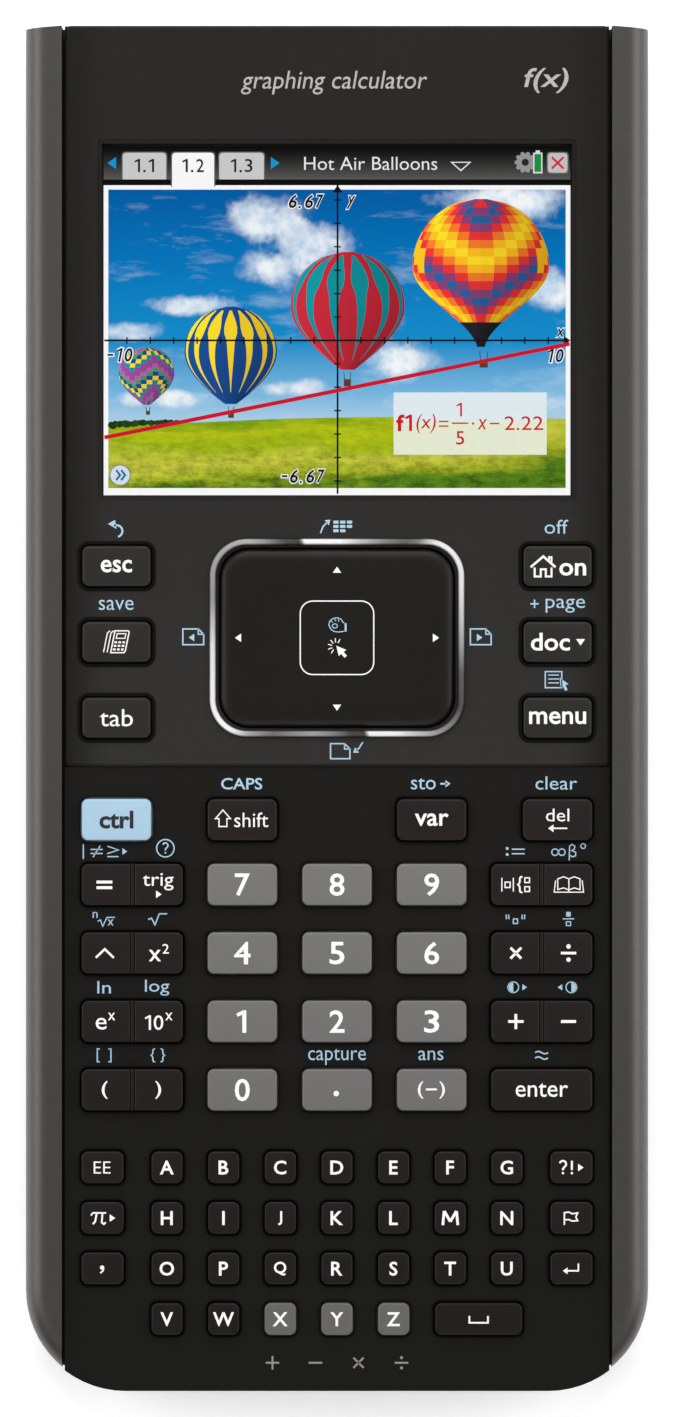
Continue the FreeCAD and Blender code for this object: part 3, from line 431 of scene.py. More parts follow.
def roundedOutline(left, right, low, high, corners, inset=0.0, arcSteps=6, sideSteps=4):
    # counter-clockwise points; corners are low left, low right, high right, high left
    left, right, low, high = left + inset, right - inset, low + inset, high - inset
    radii = [max(corner - inset, 0.04) for corner in corners]
    centres = [(left + radii[0], low + radii[0]), (right - radii[1], low + radii[1]),
               (right - radii[2], high - radii[2]), (left + radii[3], high - radii[3])]
    points = []
    for index, ((x, y), radius) in enumerate(zip(centres, radii)):
        for step in range(arcSteps + 1):
            angle = math.pi + (index + step / arcSteps) * math.pi / 2
            points.append((x + radius * math.cos(angle), y + radius * math.sin(angle)))
        nextX, nextY = centres[(index + 1) % 4]
        nextRadius = radii[(index + 1) % 4]
        angle = math.pi + (index + 1) * math.pi / 2
        goal = (nextX + nextRadius * math.cos(angle), nextY + nextRadius * math.sin(angle))
        begin = points[-1]
        for step in range(1, sideSteps):
            share = step / sideSteps
            points.append(tuple(a + (b - a) * share for a, b in zip(begin, goal)))
    return points


def loft(bm, rings, closed=False):
    rows = [[bm.verts.new(point) for point in ring] for ring in rings]
    pairs = list(zip(rows, rows[1:])) + ([(rows[-1], rows[0])] if closed else [])
    for lower, upper in pairs:
        for i in range(len(lower)):
            j = (i + 1) % len(lower)
            bm.faces.new((lower[i], lower[j], upper[j], upper[i]))
    if not closed:
        bm.faces.new(rows[0][::-1])
        bm.faces.new(rows[-1])


def plateRings(rect, corners, profile):
    # profile is a list of (inset, height)
    return [[(x, y, z) for x, y in roundedOutline(*rect, corners, inset)] for inset, z in profile]


def topProfile(top, bevel, drop, crown, depth):
    # from the cap's side, over its soft edge and up a slightly crowned face
    curve = [(0.0, 0.95), (0.03, 0.62), (0.14, 0.33), (0.34, 0.13), (0.62, 0.035), (1.0, 0.0)]
    edge = [(bevel * share, top - crown - drop * fall) for share, fall in curve]
    face = [(bevel + (depth - bevel) * k, crownHeight(top, crown, k)) for k in (0.2, 0.45, 0.75, 0.96)]
    return edge + face


def crownHeight(top, crown, share):
    return top - crown * (1 - min(max(share, 0.0), 1.0)) ** 2


# flat shapes: printed legends and the shapes on the display

inkLook = {
    "thickness": 0.05,
    "sunk": 0.03,  # how far the printing reaches into the surface below
    "layer": 0.02,  # each layer of the display's picture lies this much higher
    "keyStep": 0.55,  # faces on a crowned key are cut to this size
    "discSteps": 28,
}


class Ink:
    def __init__(self, x=0.0, y=0.0):
        self.bm = bmesh.new()
        self.layer = self.bm.loops.layers.float_color.new("tint")
        self.home = self.x, self.y = x, y
        self.tint = grey(1.0)
        self.lift = 0.0

    def at(self, x=0.0, y=0.0):
        # what follows is drawn about this place
        self.x, self.y = self.home[0] + x, self.home[1] + y

    def on(self, level, tint):
        # what follows lies on this layer of the picture, in this colour
        self.lift, self.tint = level * inkLook["layer"], tint

    def fill(self, corners):
        for loop in self.bm.faces.new(corners).loops:
            loop[self.layer] = self.tint

    def face(self, points):
        self.fill([self.bm.verts.new((self.x + x, self.y + y, self.lift)) for x, y in points])

    def box(self, x, y, width, height):
        w, h = width / 2, height / 2
        self.face([(x - w, y - h), (x + w, y - h), (x + w, y + h), (x - w, y + h)])

    def frame(self, left, right, low, high, width):
        self.line([(left, low), (right, low), (right, high), (left, high)], width, closed=True)

    def disc(self, x, y, radius, start=0.0, end=360.0):
        steps = inkLook["discSteps"]
        turn = [math.radians(start + (end - start) * i / steps) for i in range(steps)]
        if end - start < 360:
            turn.append(math.radians(end))
        self.face([(x + radius * math.cos(a), y + radius * math.sin(a)) for a in turn])

    def line(self, points, width, closed=False):
        points = [Vector(p) for p in points]
        count = len(points)
        sides = []
        for i, point in enumerate(points):
            before = points[i - 1] if i or closed else None
            after = points[(i + 1) % count] if i < count - 1 or closed else None
            came = (point - before).normalized() if before is not None else None
            goes = (after - point).normalized() if after is not None else None
            along = ((came or goes) + (goes or came)).normalized()
            across = Vector((-along.y, along.x))
            bend = max(abs(along.dot(goes or came)), 0.45)
            reach = across * (width / 2 / bend)
            sides.append((point + reach, point - reach))
        for i in range(count if closed else count - 1):
            (a, b), (c, d) = sides[i], sides[(i + 1) % count]
            self.face([tuple(p) for p in (b, d, c, a)])

    def arc(self, x, y, radius, start, end, width):
        steps = max(6, int(abs(end - start) / 12))
        turn = [math.radians(start + (end - start) * i / steps) for i in range(steps + 1)]
        path = [(x + radius * math.cos(a), y + radius * math.sin(a)) for a in turn]
        if abs(end - start) >= 360:
            self.line(path[:-1], width, closed=True)
        else:
            self.line(path, width)

    def arrow(self, x, y, size, heading):
        # a solid triangle pointing along heading, in degrees
        turn = math.radians(heading)
        ends = [(size * 0.5, 0), (-size * 0.4, size * 0.62), (-size * 0.4, -size * 0.62)]
        self.face([(x + a * math.cos(turn) - b * math.sin(turn), y + a * math.sin(turn) + b * math.cos(turn))
                   for a, b in ends])

    def word(self, text, x, y, width=None, height=None, weight=0.012, lean=0.0):
        # text scaled to a width, a height or both, and centred on x and y
        curve = bpy.data.curves.new("word", "FONT")
        curve.body, curve.size, curve.offset, curve.shear = text, 1.0, weight, lean
        curve.resolution_u = 3
        holder = bpy.data.objects.new("word", curve)
        mesh = bpy.data.meshes.new_from_object(holder)
        spots = [v.co.copy() for v in mesh.vertices]
        low = Vector((min(p.x for p in spots), min(p.y for p in spots)))
        high = Vector((max(p.x for p in spots), max(p.y for p in spots)))
        size = high - low
        scaleX = width / size.x if width else height / size.y
        scaleY = height / size.y if height else width / size.x
        middle = (low + high) / 2
        verts = [self.bm.verts.new((self.x + x + (p.x - middle.x) * scaleX,
                                    self.y + y + (p.y - middle.y) * scaleY, self.lift)) for p in spots]
        for polygon in mesh.polygons:
            corners = [verts[i] for i in polygon.vertices]
            if len(set(corners)) > 2 and not self.bm.faces.get(corners):
                self.fill(corners)
        bpy.data.objects.remove(holder)
        bpy.data.curves.remove(curve)
        bpy.data.meshes.remove(mesh)

    def one(self, x, y, height, stroke, lean=0.0):
        # a figure one with its flag
        stem = x + height * 0.12
        low, high = (stem - height * lean / 2, y - height / 2), (stem + height * lean / 2, y + height / 2)
        self.line([low, high], stroke)
        self.line([(high[0] - height * 0.32, high[1] - height * 0.22), (high[0], high[1] - stroke * 0.35)],
                  stroke * 0.85)

    def question(self, x, y, height, stroke):
        radius = height * 0.24
        top = y + height / 2 - radius
        self.arc(x, top, radius, 165, -55, stroke)
        self.line([(x + radius * 0.55, top - radius * 0.78), (x, top - radius * 1.5), (x, y - height * 0.2)],
                  stroke)
        self.disc(x, y - height / 2 + stroke * 0.55, stroke * 0.62)

    def figures(self, text, x, y, height, stroke, grow=0.0, weight=0.0, lean=0.0):
        # figures set one by one, because the plain face has a bare bar for its one
        widths = [{"1": 0.64, ".": 0.42, "-": 0.6}.get(sign, 0.78) * height for sign in text]
        spot = x - sum(widths) / 2
        for sign, width in zip(text, widths):
            middle = spot + width / 2
            spot += width
            if sign == "1":
                self.one(middle, y, height + grow, stroke + grow, lean)
            elif sign == ".":
                self.disc(middle - lean * height / 2, y - height / 2 + stroke / 2, stroke * 0.6 + grow / 2)
            elif sign == "-":
                self.box(middle, y, height * 0.42 + grow, stroke + grow)
            else:
                self.word(sign, middle, y, height * 0.58 + grow, height + grow, weight, lean)

    def follow(self, step):
        # cuts wide faces so that they can follow a curved surface
        for axis in (0, 1):
            spots = [vert.co[axis] for vert in self.bm.verts]
            normal = Vector((1 - axis, axis, 0))
            for i in range(1, int((max(spots) - min(spots)) / step) + 1):
                geometry = self.bm.verts[:] + self.bm.edges[:] + self.bm.faces[:]
                bmesh.ops.bisect_plane(self.bm, geom=geometry, dist=1e-6,
                                       plane_co=normal * (min(spots) + i * step), plane_no=normal)

    def finish(self, name, skin, body, slot, heightAt, thickness=inkLook["thickness"], sunk=inkLook["sunk"],
               step=0.0):
        # gives the flat shapes a thickness and lays them on the surface below
        bm = self.bm
        bmesh.ops.remove_doubles(bm, verts=bm.verts, dist=1e-5)
        if step:
            self.follow(step)
        flat = list(bm.faces)
        made = bmesh.ops.extrude_face_region(bm, geom=flat, use_keep_orig=True)
        for item in made["geom"]:
            if isinstance(item, bmesh.types.BMVert):
                item.co.z += thickness
        for vert in bm.verts:
            vert.co.z += heightAt(vert.co.x, vert.co.y) - sunk
        finishMesh(name, bm, skins[skin], body, slot)


# key caps

keyLook = {
    "corner": 0.9,
    "flange": 0.6,
    "flangeHeight": 0.65,
    "bevel": 0.42,
    "halfBevel": 0.3,
    "drop": 0.3,
    "crown": 0.07,
    "middleStrip": 0.42,  # the raised strip between the two legends of a rocker
    "stripGap": 0.09,
    "stripLow": 0.06,  # how much lower the strip's top is
    "halfCorner": 0.12,
    "depthShare": 0.46,  # how far the crown climbs, as a share of the cap's short side
    "halfDepthShare": 0.38,
    "legendRoom": 0.03,  # keeps the printing below the height of the plain cap
}


capPlans = {}


def nodeRect(node):
    low, high = (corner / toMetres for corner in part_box(node))
    return low, high


def capName(node):
    first, *rest = node.split("_")
    return first + "".join(word.capitalize() for word in rest)


def capRects(node, centres):
    # the plan of each cap in a node: left, right, low, high
    low, high = nodeRect(node)
    edge = keyLook["flange"]
    if not centres:
        return [(low.x + edge, high.x - edge, low.y + edge, high.y - edge)]
    columns, rows, width, length = centres
    return [(x - width / 2, x + width / 2, y - length / 2, y + length / 2) for x in columns for y in rows]


def buildCaps(node, skin, slot, centres=None, bevel=None, drop=keyLook["drop"], halves=False):
    low, high = nodeRect(node)
    rects = capPlans[node] = capRects(node, centres)
    bevel = bevel or keyLook["halfBevel" if halves else "bevel"]
    corner, crown, small = keyLook["corner"], keyLook["crown"], keyLook["halfCorner"]
    strip, gap = keyLook["middleStrip"] / 2, keyLook["stripGap"]
    capTop = high.z - keyLook["legendRoom"]
    flangeTop, shoulder = low.z + keyLook["flangeHeight"], capTop - crown - drop
    base = [(-keyLook["flange"], low.z), (-keyLook["flange"], flangeTop), (0.0, flangeTop)]
    bm = bmesh.new()
    for rect in rects:
        left, right, bottom, top = rect
        if not halves:
            depth = min(right - left, top - bottom) * keyLook["depthShare"]
            loft(bm, plateRings(rect, [corner] * 4, base + topProfile(capTop, bevel, drop, crown, depth)))
            continue
        loft(bm, plateRings(rect, [corner] * 4, base + [(0.0, shoulder - 0.12), (0.12, shoulder - 0.1)]))
        middle, foot = (left + right) / 2, [(0.0, shoulder - 0.3)]
        for x0, x1, corners in ((left, middle - strip - gap, (corner, small, small, corner)),
                                (middle + strip + gap, right, (small, corner, corner, small))):
            profile = foot + topProfile(capTop, bevel, drop, crown, (x1 - x0) * keyLook["halfDepthShare"])
            loft(bm, plateRings((x0, x1, bottom, top), corners, profile))
        profile = foot + topProfile(capTop - keyLook["stripLow"], 0.16, 0.16, 0.01, 0.2)
        raised = (middle - strip, middle + strip, bottom + 0.02, top - 0.02)
        loft(bm, plateRings(raised, [small] * 4, profile))
    finishMesh(capName(node) + "Cap", bm, skins[skin], node, slot, [node])

    def heightAt(x, y):
        for left, right, bottom, top in rects:
            inside = min(x - left, right - x, y - bottom, top - y)
            depth = min(right - left, top - bottom) * keyLook["depthShare"]
            if halves:
                inside = min(inside, abs(x - (left + right) / 2) - strip - gap)
                depth = ((right - left) / 2 - strip - gap) * keyLook["halfDepthShare"]
            if inside > -0.1:
                return crownHeight(capTop, crown, (inside - bevel) / (depth - bevel))
        return capTop
    return heightAt


def buildKey(node, skin, slot, draw, legend="whiteInk", **caps):
    heightAt = buildCaps(node, skin, slot, **caps)
    low, high = nodeRect(node)
    ink = Ink((low.x + high.x) / 2, (low.y + high.y) / 2)
    draw(ink)
    ink.finish(capName(node) + "Legend", legend, node, slot, heightAt, step=inkLook["keyStep"])


# drawings are centred on the middle of their key

def drawCalculatorIcon(ink):
    def slant(points, width, closed=True):
        ink.line([(x + y * 0.2, y) for x, y in points], width, closed)
    slant([(-0.5, -1.5), (1.35, -1.5), (1.5, -1.3), (1.5, 1.4), (1.35, 1.55), (-0.5, 1.55)], 0.17)
    slant([(-0.12, 0.5), (1.1, 0.5), (1.1, 1.15), (-0.12, 1.15)], 0.14)
    for column in range(3):
        for row in range(3):
            y = -0.05 - row * 0.5
            ink.box(-0.08 + column * 0.56 + y * 0.2, y, 0.36, 0.27)
    for shift in (1.0, 1.5):
        slant([(-shift, -1.45), (-shift, 1.25), (0.3 - shift, 1.55)], 0.15, closed=False)


def drawHouseAndOn(ink):
    ink.line([(-3.75, -0.15), (-2.0, 1.35), (-0.3, -0.15)], 0.31)
    ink.line([(-3.2, -0.2), (-3.2, -1.45), (-2.35, -1.45), (-2.35, -0.45), (-1.65, -0.45), (-1.65, -1.45),
              (-0.85, -1.45), (-0.85, -0.2)], 0.27)
    ink.line([(-1.2, 0.75), (-1.2, 1.25), (-0.85, 1.25), (-0.85, 0.5)], 0.24)
    ink.word("on", 2.1, -0.45, 3.75, 1.78, 0.017)


def drawDoc(ink):
    ink.word("doc", -1.0, 0.02, 5.45, 2.5, 0.015)
    ink.arrow(3.2, 0.0, 1.0, -90)


def drawShift(ink):
    ink.line([(-3.25, -0.95), (-3.25, 0.15), (-3.75, 0.15), (-2.7, 1.35), (-1.65, 0.15), (-2.15, 0.15),
              (-2.15, -0.95)], 0.17, closed=True)
    ink.word("shift", 1.25, -0.02, 4.75, 2.05, -0.002)


def drawDelete(ink):
    ink.word("del", 0.0, 0.65, 3.25, 1.78, -0.002)
    ink.line([(-0.9, -1.2), (1.35, -1.2)], 0.2)
    ink.arrow(-0.9, -1.2, 0.85, 180)


halfPair = 3.72  # from a rocker's middle to the middle of each legend


def drawEqualsTrig(ink):
    for y in (0.36, -0.42):
        ink.box(-halfPair - 0.15, y, 2.2, 0.4)
    ink.word("trig", halfPair - 0.1, 0.4, 4.3, 2.4, 0.0)
    ink.arrow(halfPair - 0.05, -1.35, 0.85, 0)


def drawPowerSquare(ink):
    ink.line([(-halfPair - 1.35, -0.65), (-halfPair - 0.1, 0.55), (-halfPair + 1.15, -0.65)], 0.3)
    ink.word("x", halfPair - 0.55, -0.35, 1.7, 1.6, 0.006)
    ink.word("2", halfPair + 0.95, 0.6, 0.9, 1.35, 0.004)


def drawExponential(ink):
    ink.word("e", -halfPair - 0.6, -0.3, 1.55, 1.65, 0.003)
    ink.word("x", -halfPair + 0.85, 0.7, 1.0, 1.05, 0.003)
    ink.one(halfPair - 1.5, -0.15, 2.05, 0.3)
    ink.word("0", halfPair - 0.05, -0.15, 1.35, 2.05, 0.002)
    ink.word("x", halfPair + 1.4, 0.7, 1.0, 1.05, 0.003)


def drawBrackets(ink):
    for sign, x in (("(", -halfPair - 0.1), (")", halfPair - 0.1)):
        ink.word(sign, x, 0.0, 0.85, 2.45, 0.008)


def drawTemplateCatalog(ink):
    ink.at(0.1 - halfPair)
    for x in (-1.95, -0.35):
        ink.line([(x, -0.95), (x, 0.95)], 0.16)
    ink.frame(-1.5, -0.8, -0.4, 0.35, 0.17)
    ink.word("{", 0.55, 0.0, 0.75, 2.4, 0.006)
    for y in (0.62, -0.62):
        ink.frame(1.25, 1.9, y - 0.33, y + 0.33, 0.17)
    ink.at(halfPair + 0.05)  # an open book
    for side in (-1, 1):
        ink.line([(0.0, -0.75), (side * 0.75, -0.45), (side * 1.55, -0.7), (side * 1.55, 0.8),
                  (side * 0.75, 1.1), (0.0, 0.8)], 0.15)
        ink.line([(side * 1.85, 0.6), (side * 2.05, -1.05), (0.0, -1.05)], 0.14)
    ink.line([(0.0, 0.85), (0.0, -1.05)], 0.15)


def drawTimesDivide(ink):
    ink.at(0.1 - halfPair)
    for side in (-1, 1):
        ink.line([(-0.75, -0.75 * side), (0.75, 0.75 * side)], 0.36)
    ink.at(halfPair)
    ink.box(0.0, 0.0, 2.15, 0.36)
    for y in (0.92, -0.92):
        ink.disc(0.0, y, 0.31)


def drawPlusMinus(ink):
    ink.at(0.1 - halfPair)
    ink.box(0.0, 0.0, 2.15, 0.38)
    for y in (0.62, -0.62):
        ink.box(0.0, y, 0.38, 0.85)
    ink.at(halfPair)
    ink.box(0.0, 0.0, 2.1, 0.4)


def drawNegative(ink):
    ink.word("(", -1.55, 0.0, 0.8, 2.4, 0.008)
    ink.box(-0.05, 0.08, 1.55, 0.28)
    ink.word(")", 1.45, 0.0, 0.8, 2.4, 0.008)


def drawWord(text, width, height, weight):
    return lambda ink: ink.word(text, 0.0, 0.0, width, height, weight)


def drawDigit(digit):
    if digit == "1":
        return lambda ink: ink.one(-0.1, 0.0, 3.15, 0.56)
    return drawWord(digit, 2.3 if digit == "4" else 2.1, 3.15, 0.013)


upperKeys = {
    "escape_key": drawWord("esc", 4.35, 1.78, 0.016),
    "scratchpad_key": drawCalculatorIcon,
    "tab_key": drawWord("tab", 4.6, 2.4, 0.0),
    "home_key": drawHouseAndOn,
    "document_key": drawDoc,
    "menu_key": drawWord("menu", 7.95, 1.8, 0.015),
}
functionKeys = {
    "shift_key": drawShift,
    "variable_key": drawWord("var", 4.7, 1.75, 0.013),
    "delete_key": drawDelete,
    "enter_key": drawWord("enter", 7.3, 1.95, 0.003),
}
rockers = {
    "equals_trig_rocker": drawEqualsTrig,
    "power_square_rocker": drawPowerSquare,
    "exponential_rocker": drawExponential,
    "bracket_rocker": drawBrackets,
    "template_catalog_rocker": drawTemplateCatalog,
    "multiply_divide_rocker": drawTimesDivide,
    "plus_minus_rocker": drawPlusMinus,
}
greyKeys = {f"digit_{digit}_key": drawDigit(digit) for digit in "0123456789"}
greyKeys["point_key"] = lambda ink: ink.disc(-0.1, -0.5, 0.38)
greyKeys["negative_key"] = drawNegative

for node, draw in upperKeys.items():
    buildKey(node, "upperKey", "upper_key_plastic", draw, bevel=0.6, drop=0.34)
buildKey("control_key", "blueKey", "blue_key_plastic", drawWord("ctrl", 4.75, 2.5, 0.028), "darkInk")
for node, draw in functionKeys.items():
    buildKey(node, "darkKey", "dark_key_plastic", draw)
for node, draw in rockers.items():
    buildKey(node, "darkKey", "dark_key_plastic", draw, halves=True)
for node, draw in greyKeys.items():
    buildKey(node, "greyKey", "grey_key_plastic", draw)
print("main keys built")


# letter keys

letterLook = {
    "pitch": 7.9,
    "width": 4.4,
    "length": 4.5,
    "symbolWidth": 5.95,
    "capHeight": 1.95,
    "edge": {"bevel": 0.36, "drop": 0.26},
}
letterRows = {  # the letters of each row and the column where it starts
    "letter_keys_a_to_g": ("ABCDEFG", -3),
    "letter_keys_h_to_n": ("HIJKLMN", -3),
    "letter_keys_o_to_u": ("OPQRSTU", -3),
    "letter_keys_v_w": ("VW", -3),
    "letter_keys_x_y_z": ("XYZ", -1),
}


def drawLetters(ink, letters, columns):
    h = letterLook["capHeight"] / 2
    for letter, x in zip(letters, columns):
        if letter != "M":
            ink.word(letter, x - 0.03, 0.0, height=h * 2, weight=0.018)
            continue
        for side in (-1, 1):
            ink.line([(x + side * 1.05, -h), (x + side * 0.86, h)], 0.36)
            ink.line([(x + side * 0.84, h), (x, -h * 0.5)], 0.38)


for node, (letters, first) in letterRows.items():
    low, high = nodeRect(node)
    rowY = (low.y + high.y) / 2
    columns = [(first + i) * letterLook["pitch"] for i in range(len(letters))]
    skin, slot = ("dimKey", "grey_key_plastic") if letters == "XYZ" else ("darkKey", "dark_key_plastic")
    heightAt = buildCaps(node, skin, slot, (columns, [rowY], letterLook["width"], letterLook["length"]),
                         **letterLook["edge"])
    ink = Ink(0.0, rowY)
    drawLetters(ink, letters, columns)
    ink.finish(capName(node) + "Legend", "whiteInk", node, slot, heightAt, step=inkLook["keyStep"])


def drawLeftSymbols(ink, rows):
    ink.at(-32.75, rows[0])
    ink.word("EE", 0.0, 0.0, 2.35, 1.68, -0.006)
    ink.at(-32.75, rows[1])
    ink.line([(-1.55, 0.35), (-1.3, 0.72), (0.55, 0.72)], 0.22)
    ink.line([(-0.75, 0.7), (-0.95, -0.45), (-1.3, -0.85)], 0.26)
    ink.line([(0.05, 0.7), (-0.05, -0.6), (0.25, -0.85), (0.5, -0.6)], 0.24)
    ink.arrow(1.4, 0.0, 0.85, 0)
    ink.at(-32.75, rows[2])
    ink.disc(0.0, 0.15, 0.3)
    ink.line([(0.2, 0.1), (0.12, -0.3), (-0.25, -0.62)], 0.22)


def drawRightSymbols(ink, rows):
    ink.at(32.6, rows[0])
    ink.question(-1.1, 0.0, 1.85, 0.27)
    ink.line([(0.15, 0.93), (0.15, -0.35)], 0.28)
    ink.disc(0.15, -0.78, 0.17)
    ink.arrow(1.35, 0.0, 0.85, 0)
    ink.at(32.6, rows[1])
    ink.line([(-0.9, -0.95), (-0.9, 0.85)], 0.2)
    ink.line([(-0.85, 0.75), (-0.3, 0.85), (0.2, 0.6), (0.95, 0.72), (0.7, 0.15), (0.95, -0.35), (0.2, -0.42),
              (-0.3, -0.2), (-0.85, -0.25)], 0.2)
    ink.at(32.6, rows[2])
    ink.line([(-0.6, -0.3), (1.05, -0.3), (1.05, 0.7)], 0.22)
    ink.arrow(-0.75, -0.3, 0.75, 180)


def drawSpace(ink):
    ink.line([(-1.3, 0.45), (-1.3, -0.5), (1.3, -0.5), (1.3, 0.45)], 0.24)


for node, draw in {"left_symbol_keys": drawLeftSymbols, "right_symbol_keys": drawRightSymbols}.items():
    low, high = nodeRect(node)
    inset = keyLook["flange"] + letterLook["length"] / 2
    top, bottom = high.y - inset, low.y + inset
    rows = [top, (top + bottom) / 2, bottom]
    heightAt = buildCaps(node, "darkKey", "dark_key_plastic",
                         ([(low.x + high.x) / 2], rows, letterLook["symbolWidth"], letterLook["length"]),
                         **letterLook["edge"])
    ink = Ink()
    draw(ink, rows)
    ink.finish(capName(node) + "Legend", "whiteInk", node, "dark_key_plastic", heightAt,
               step=inkLook["keyStep"])
buildKey("space_key", "darkKey", "dark_key_plastic", drawSpace, **letterLook["edge"])
print("letter keys built")


# dark rings round the keys, a painted shadow in the gaps between the keys and their openings

wellLook = {
    "gap": 0.25,  # from a cap's side to the edge of its opening
    "upper": (0.42, 0.05),  # width and rise of the rim
    "lower": (0.2, 0.02),
}


def buildWellShadows(name, nodes, ground, size, slot):
    top = nodeRect(ground)[1].z
    gap, (width, rise) = wellLook["gap"], size
    profile = [(-gap - width, top - 0.05), (-gap - width, top + rise * 0.4), (-gap - width * 0.7, top + rise),
               (-gap - 0.05, top + rise * 0.6), (-gap, top - 0.05)]
    bm = bmesh.new()
    for node in nodes:
        for rect in capPlans[node]:
            loft(bm, plateRings(rect, [keyLook["corner"]] * 4, profile), closed=True)
    finishMesh(name, bm, skins["trim"], "body", slot)


lowerKeys = [node for node in capPlans if node not in upperKeys]
buildWellShadows("upperKeyWells", upperKeys, "upper_fascia", wellLook["upper"], "fascia_plastic")
buildWellShadows("lowerKeyWells", lowerKeys, "front_housing", wellLook["lower"], "front_panel_plastic")


# rubber membrane, with a dome under every key

membraneLook = {
    "sheetTop": 9.7,
    "windowSide": 18.2,  # the touchpad's plunger works in a notch in the sheet
    "windowSill": -4.3,
    "domeFoot": 1.7,
    "domeHead": 1.1,
    "clearance": 0.05,  # between a dome and the key above it
    "rockerReach": 3.6,  # from a rocker's middle to each of its domes
    "pressedKeep": 0.61,  # share of its height that a dome keeps under a pressed key
    "tiltedKeep": 0.68,
}


def buildMembrane():
    low, high = nodeRect("keypad_membrane")
    top, side, sill = membraneLook["sheetTop"], membraneLook["windowSide"], membraneLook["windowSill"]
    bm = bmesh.new()
    prism(bm, [(low.x, low.y), (high.x, low.y), (high.x, high.y), (side, high.y), (side, sill), (-side, sill),
               (-side, high.y), (low.x, high.y)], (low.z, top))
    finishMesh("membraneSheet", bm, skins["membrane"], "body", "membrane_rubber", ["keypad_membrane"])
    for node, rects in capPlans.items():
        tilts = node in rockers
        reach = (-membraneLook["rockerReach"], membraneLook["rockerReach"]) if tilts else (0.0,)
        domeTop = nodeRect(node)[0].z - membraneLook["clearance"]
        profile = [(membraneLook["domeFoot"], top - 0.2), (membraneLook["domeHead"] + 0.12, domeTop - 0.2),
                   (membraneLook["domeHead"], domeTop - 0.05), (membraneLook["domeHead"] - 0.1, domeTop)]
        bm = bmesh.new()
        for left, right, bottom, high in rects:
            for shift in reach:
                x, y = (left + right) / 2 + shift, (bottom + high) / 2
                loft(bm, [[(px, py, z) for px, py in circle(x, y, r, 20)] for r, z in profile])
        domes = finishMesh(capName(node) + "Domes", bm, skins["membrane"], "body", "membrane_rubber")
        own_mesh(domes)


buildMembrane()


# touchpad and its ring

padLook = {
    "corner": 4.0,
    "flangeHeight": 0.5,
    "width": 32.4,
    "length": 24.6,
    "edge": 0.45,
    "slope": 1.25,
    "square": 10.25,
    "squareCorner": 1.75,
    "hairline": 0.17,
}
ringLook = {"corner": 5.2, "band": 0.8}


def buildTouchpad():
    low, high = nodeRect("touchpad")
    x, y = (low.x + high.x) / 2, (low.y + high.y) / 2
    w, h = padLook["width"] / 2, padLook["length"] / 2
    rect = (x - w, x + w, y - h, y + h)
    flange = (high.x - low.x) / 2 - w
    top = high.z
    ledge, slope = low.z + padLook["flangeHeight"], padLook["slope"]
    profile = [(-flange, low.z), (-flange, ledge), (0.0, ledge), (0.0, top - 0.75), (0.04, top - 0.5),
               (0.16, top - 0.32), (padLook["edge"], top - 0.15), (slope * 0.8, top - 0.07),
               (slope, top - 0.03), (slope + 0.4, top), (3.5, top - 0.01), (8.0, top - 0.03),
               (11.4, top - 0.04)]
    bm = bmesh.new()
    loft(bm, plateRings(rect, [padLook["corner"]] * 4, profile))
    finishMesh("touchpadFace", bm, skins["pad"], "touchpad", "pad_plastic", ["touchpad"])

    def heightAt(px, py):
        inside = min(w - abs(px - x), h - abs(py - y))
        return top - 0.01 - 0.03 * min(max((inside - 3.5) / 7.9, 0.0), 1.0)

    ink = Ink(x, y)
    half = padLook["square"] / 2
    outline = roundedOutline(-half, half, -half, half, [padLook["squareCorner"]] * 4, 0.0, 8, 1)
    ink.line(outline, padLook["hairline"], closed=True)
    for heading, (ax, ay) in zip((90, 270, 180, 0), ((0.0, 9.45), (0.0, -9.7), (-13.75, 0.0), (13.75, 0.0))):
        ink.arrow(ax, ay, 0.95, heading)
    ink.at(0.0, -1.4)  # pointer with rays
    for degrees in (60, 95, 130, 165, 200, 235):
        c, s = math.cos(math.radians(degrees)), math.sin(math.radians(degrees))
        ink.line([(0.55 * c - 0.15, 0.55 * s + 0.2), (1.15 * c - 0.15, 1.15 * s + 0.2)], 0.13)
    ink.face([(-0.1, 0.3), (0.25, -1.15), (0.58, -0.82), (1.05, -1.4), (1.38, -1.12), (0.9, -0.55),
              (1.3, -0.3)])
    ink.finish("touchpadLegend", "whiteInk", "touchpad", "pad_plastic", heightAt)

    ink = Ink(x, y)
    ink.at(0.05, 1.75)  # a gripping hand
    ink.line([(0.95, -0.85), (0.15, -0.95), (-0.5, -0.85), (-0.95, -0.5), (-1.2, 0.1), (-1.05, 0.6),
              (-0.6, 0.95), (0.0, 1.05), (0.5, 0.85), (0.75, 0.45), (1.0, 0.3)], 0.13)
    thumb = [(-0.35 + 0.36 * px, -0.1 + 0.3 * py) for px, py in circle(0.0, 0.0, 1.0, 12)]
    ink.line(thumb, 0.12, closed=True)
    for ends in (((-1.0, 0.62), (-0.6, 0.4)), ((-0.5, 1.0), (-0.2, 0.55)), ((0.1, 1.0), (0.2, 0.5))):
        ink.line(ends, 0.11)
    ink.box(1.15, -0.3, 0.26, 1.15)
    ink.finish("touchpadHand", "blueInk", "touchpad", "pad_plastic", heightAt)


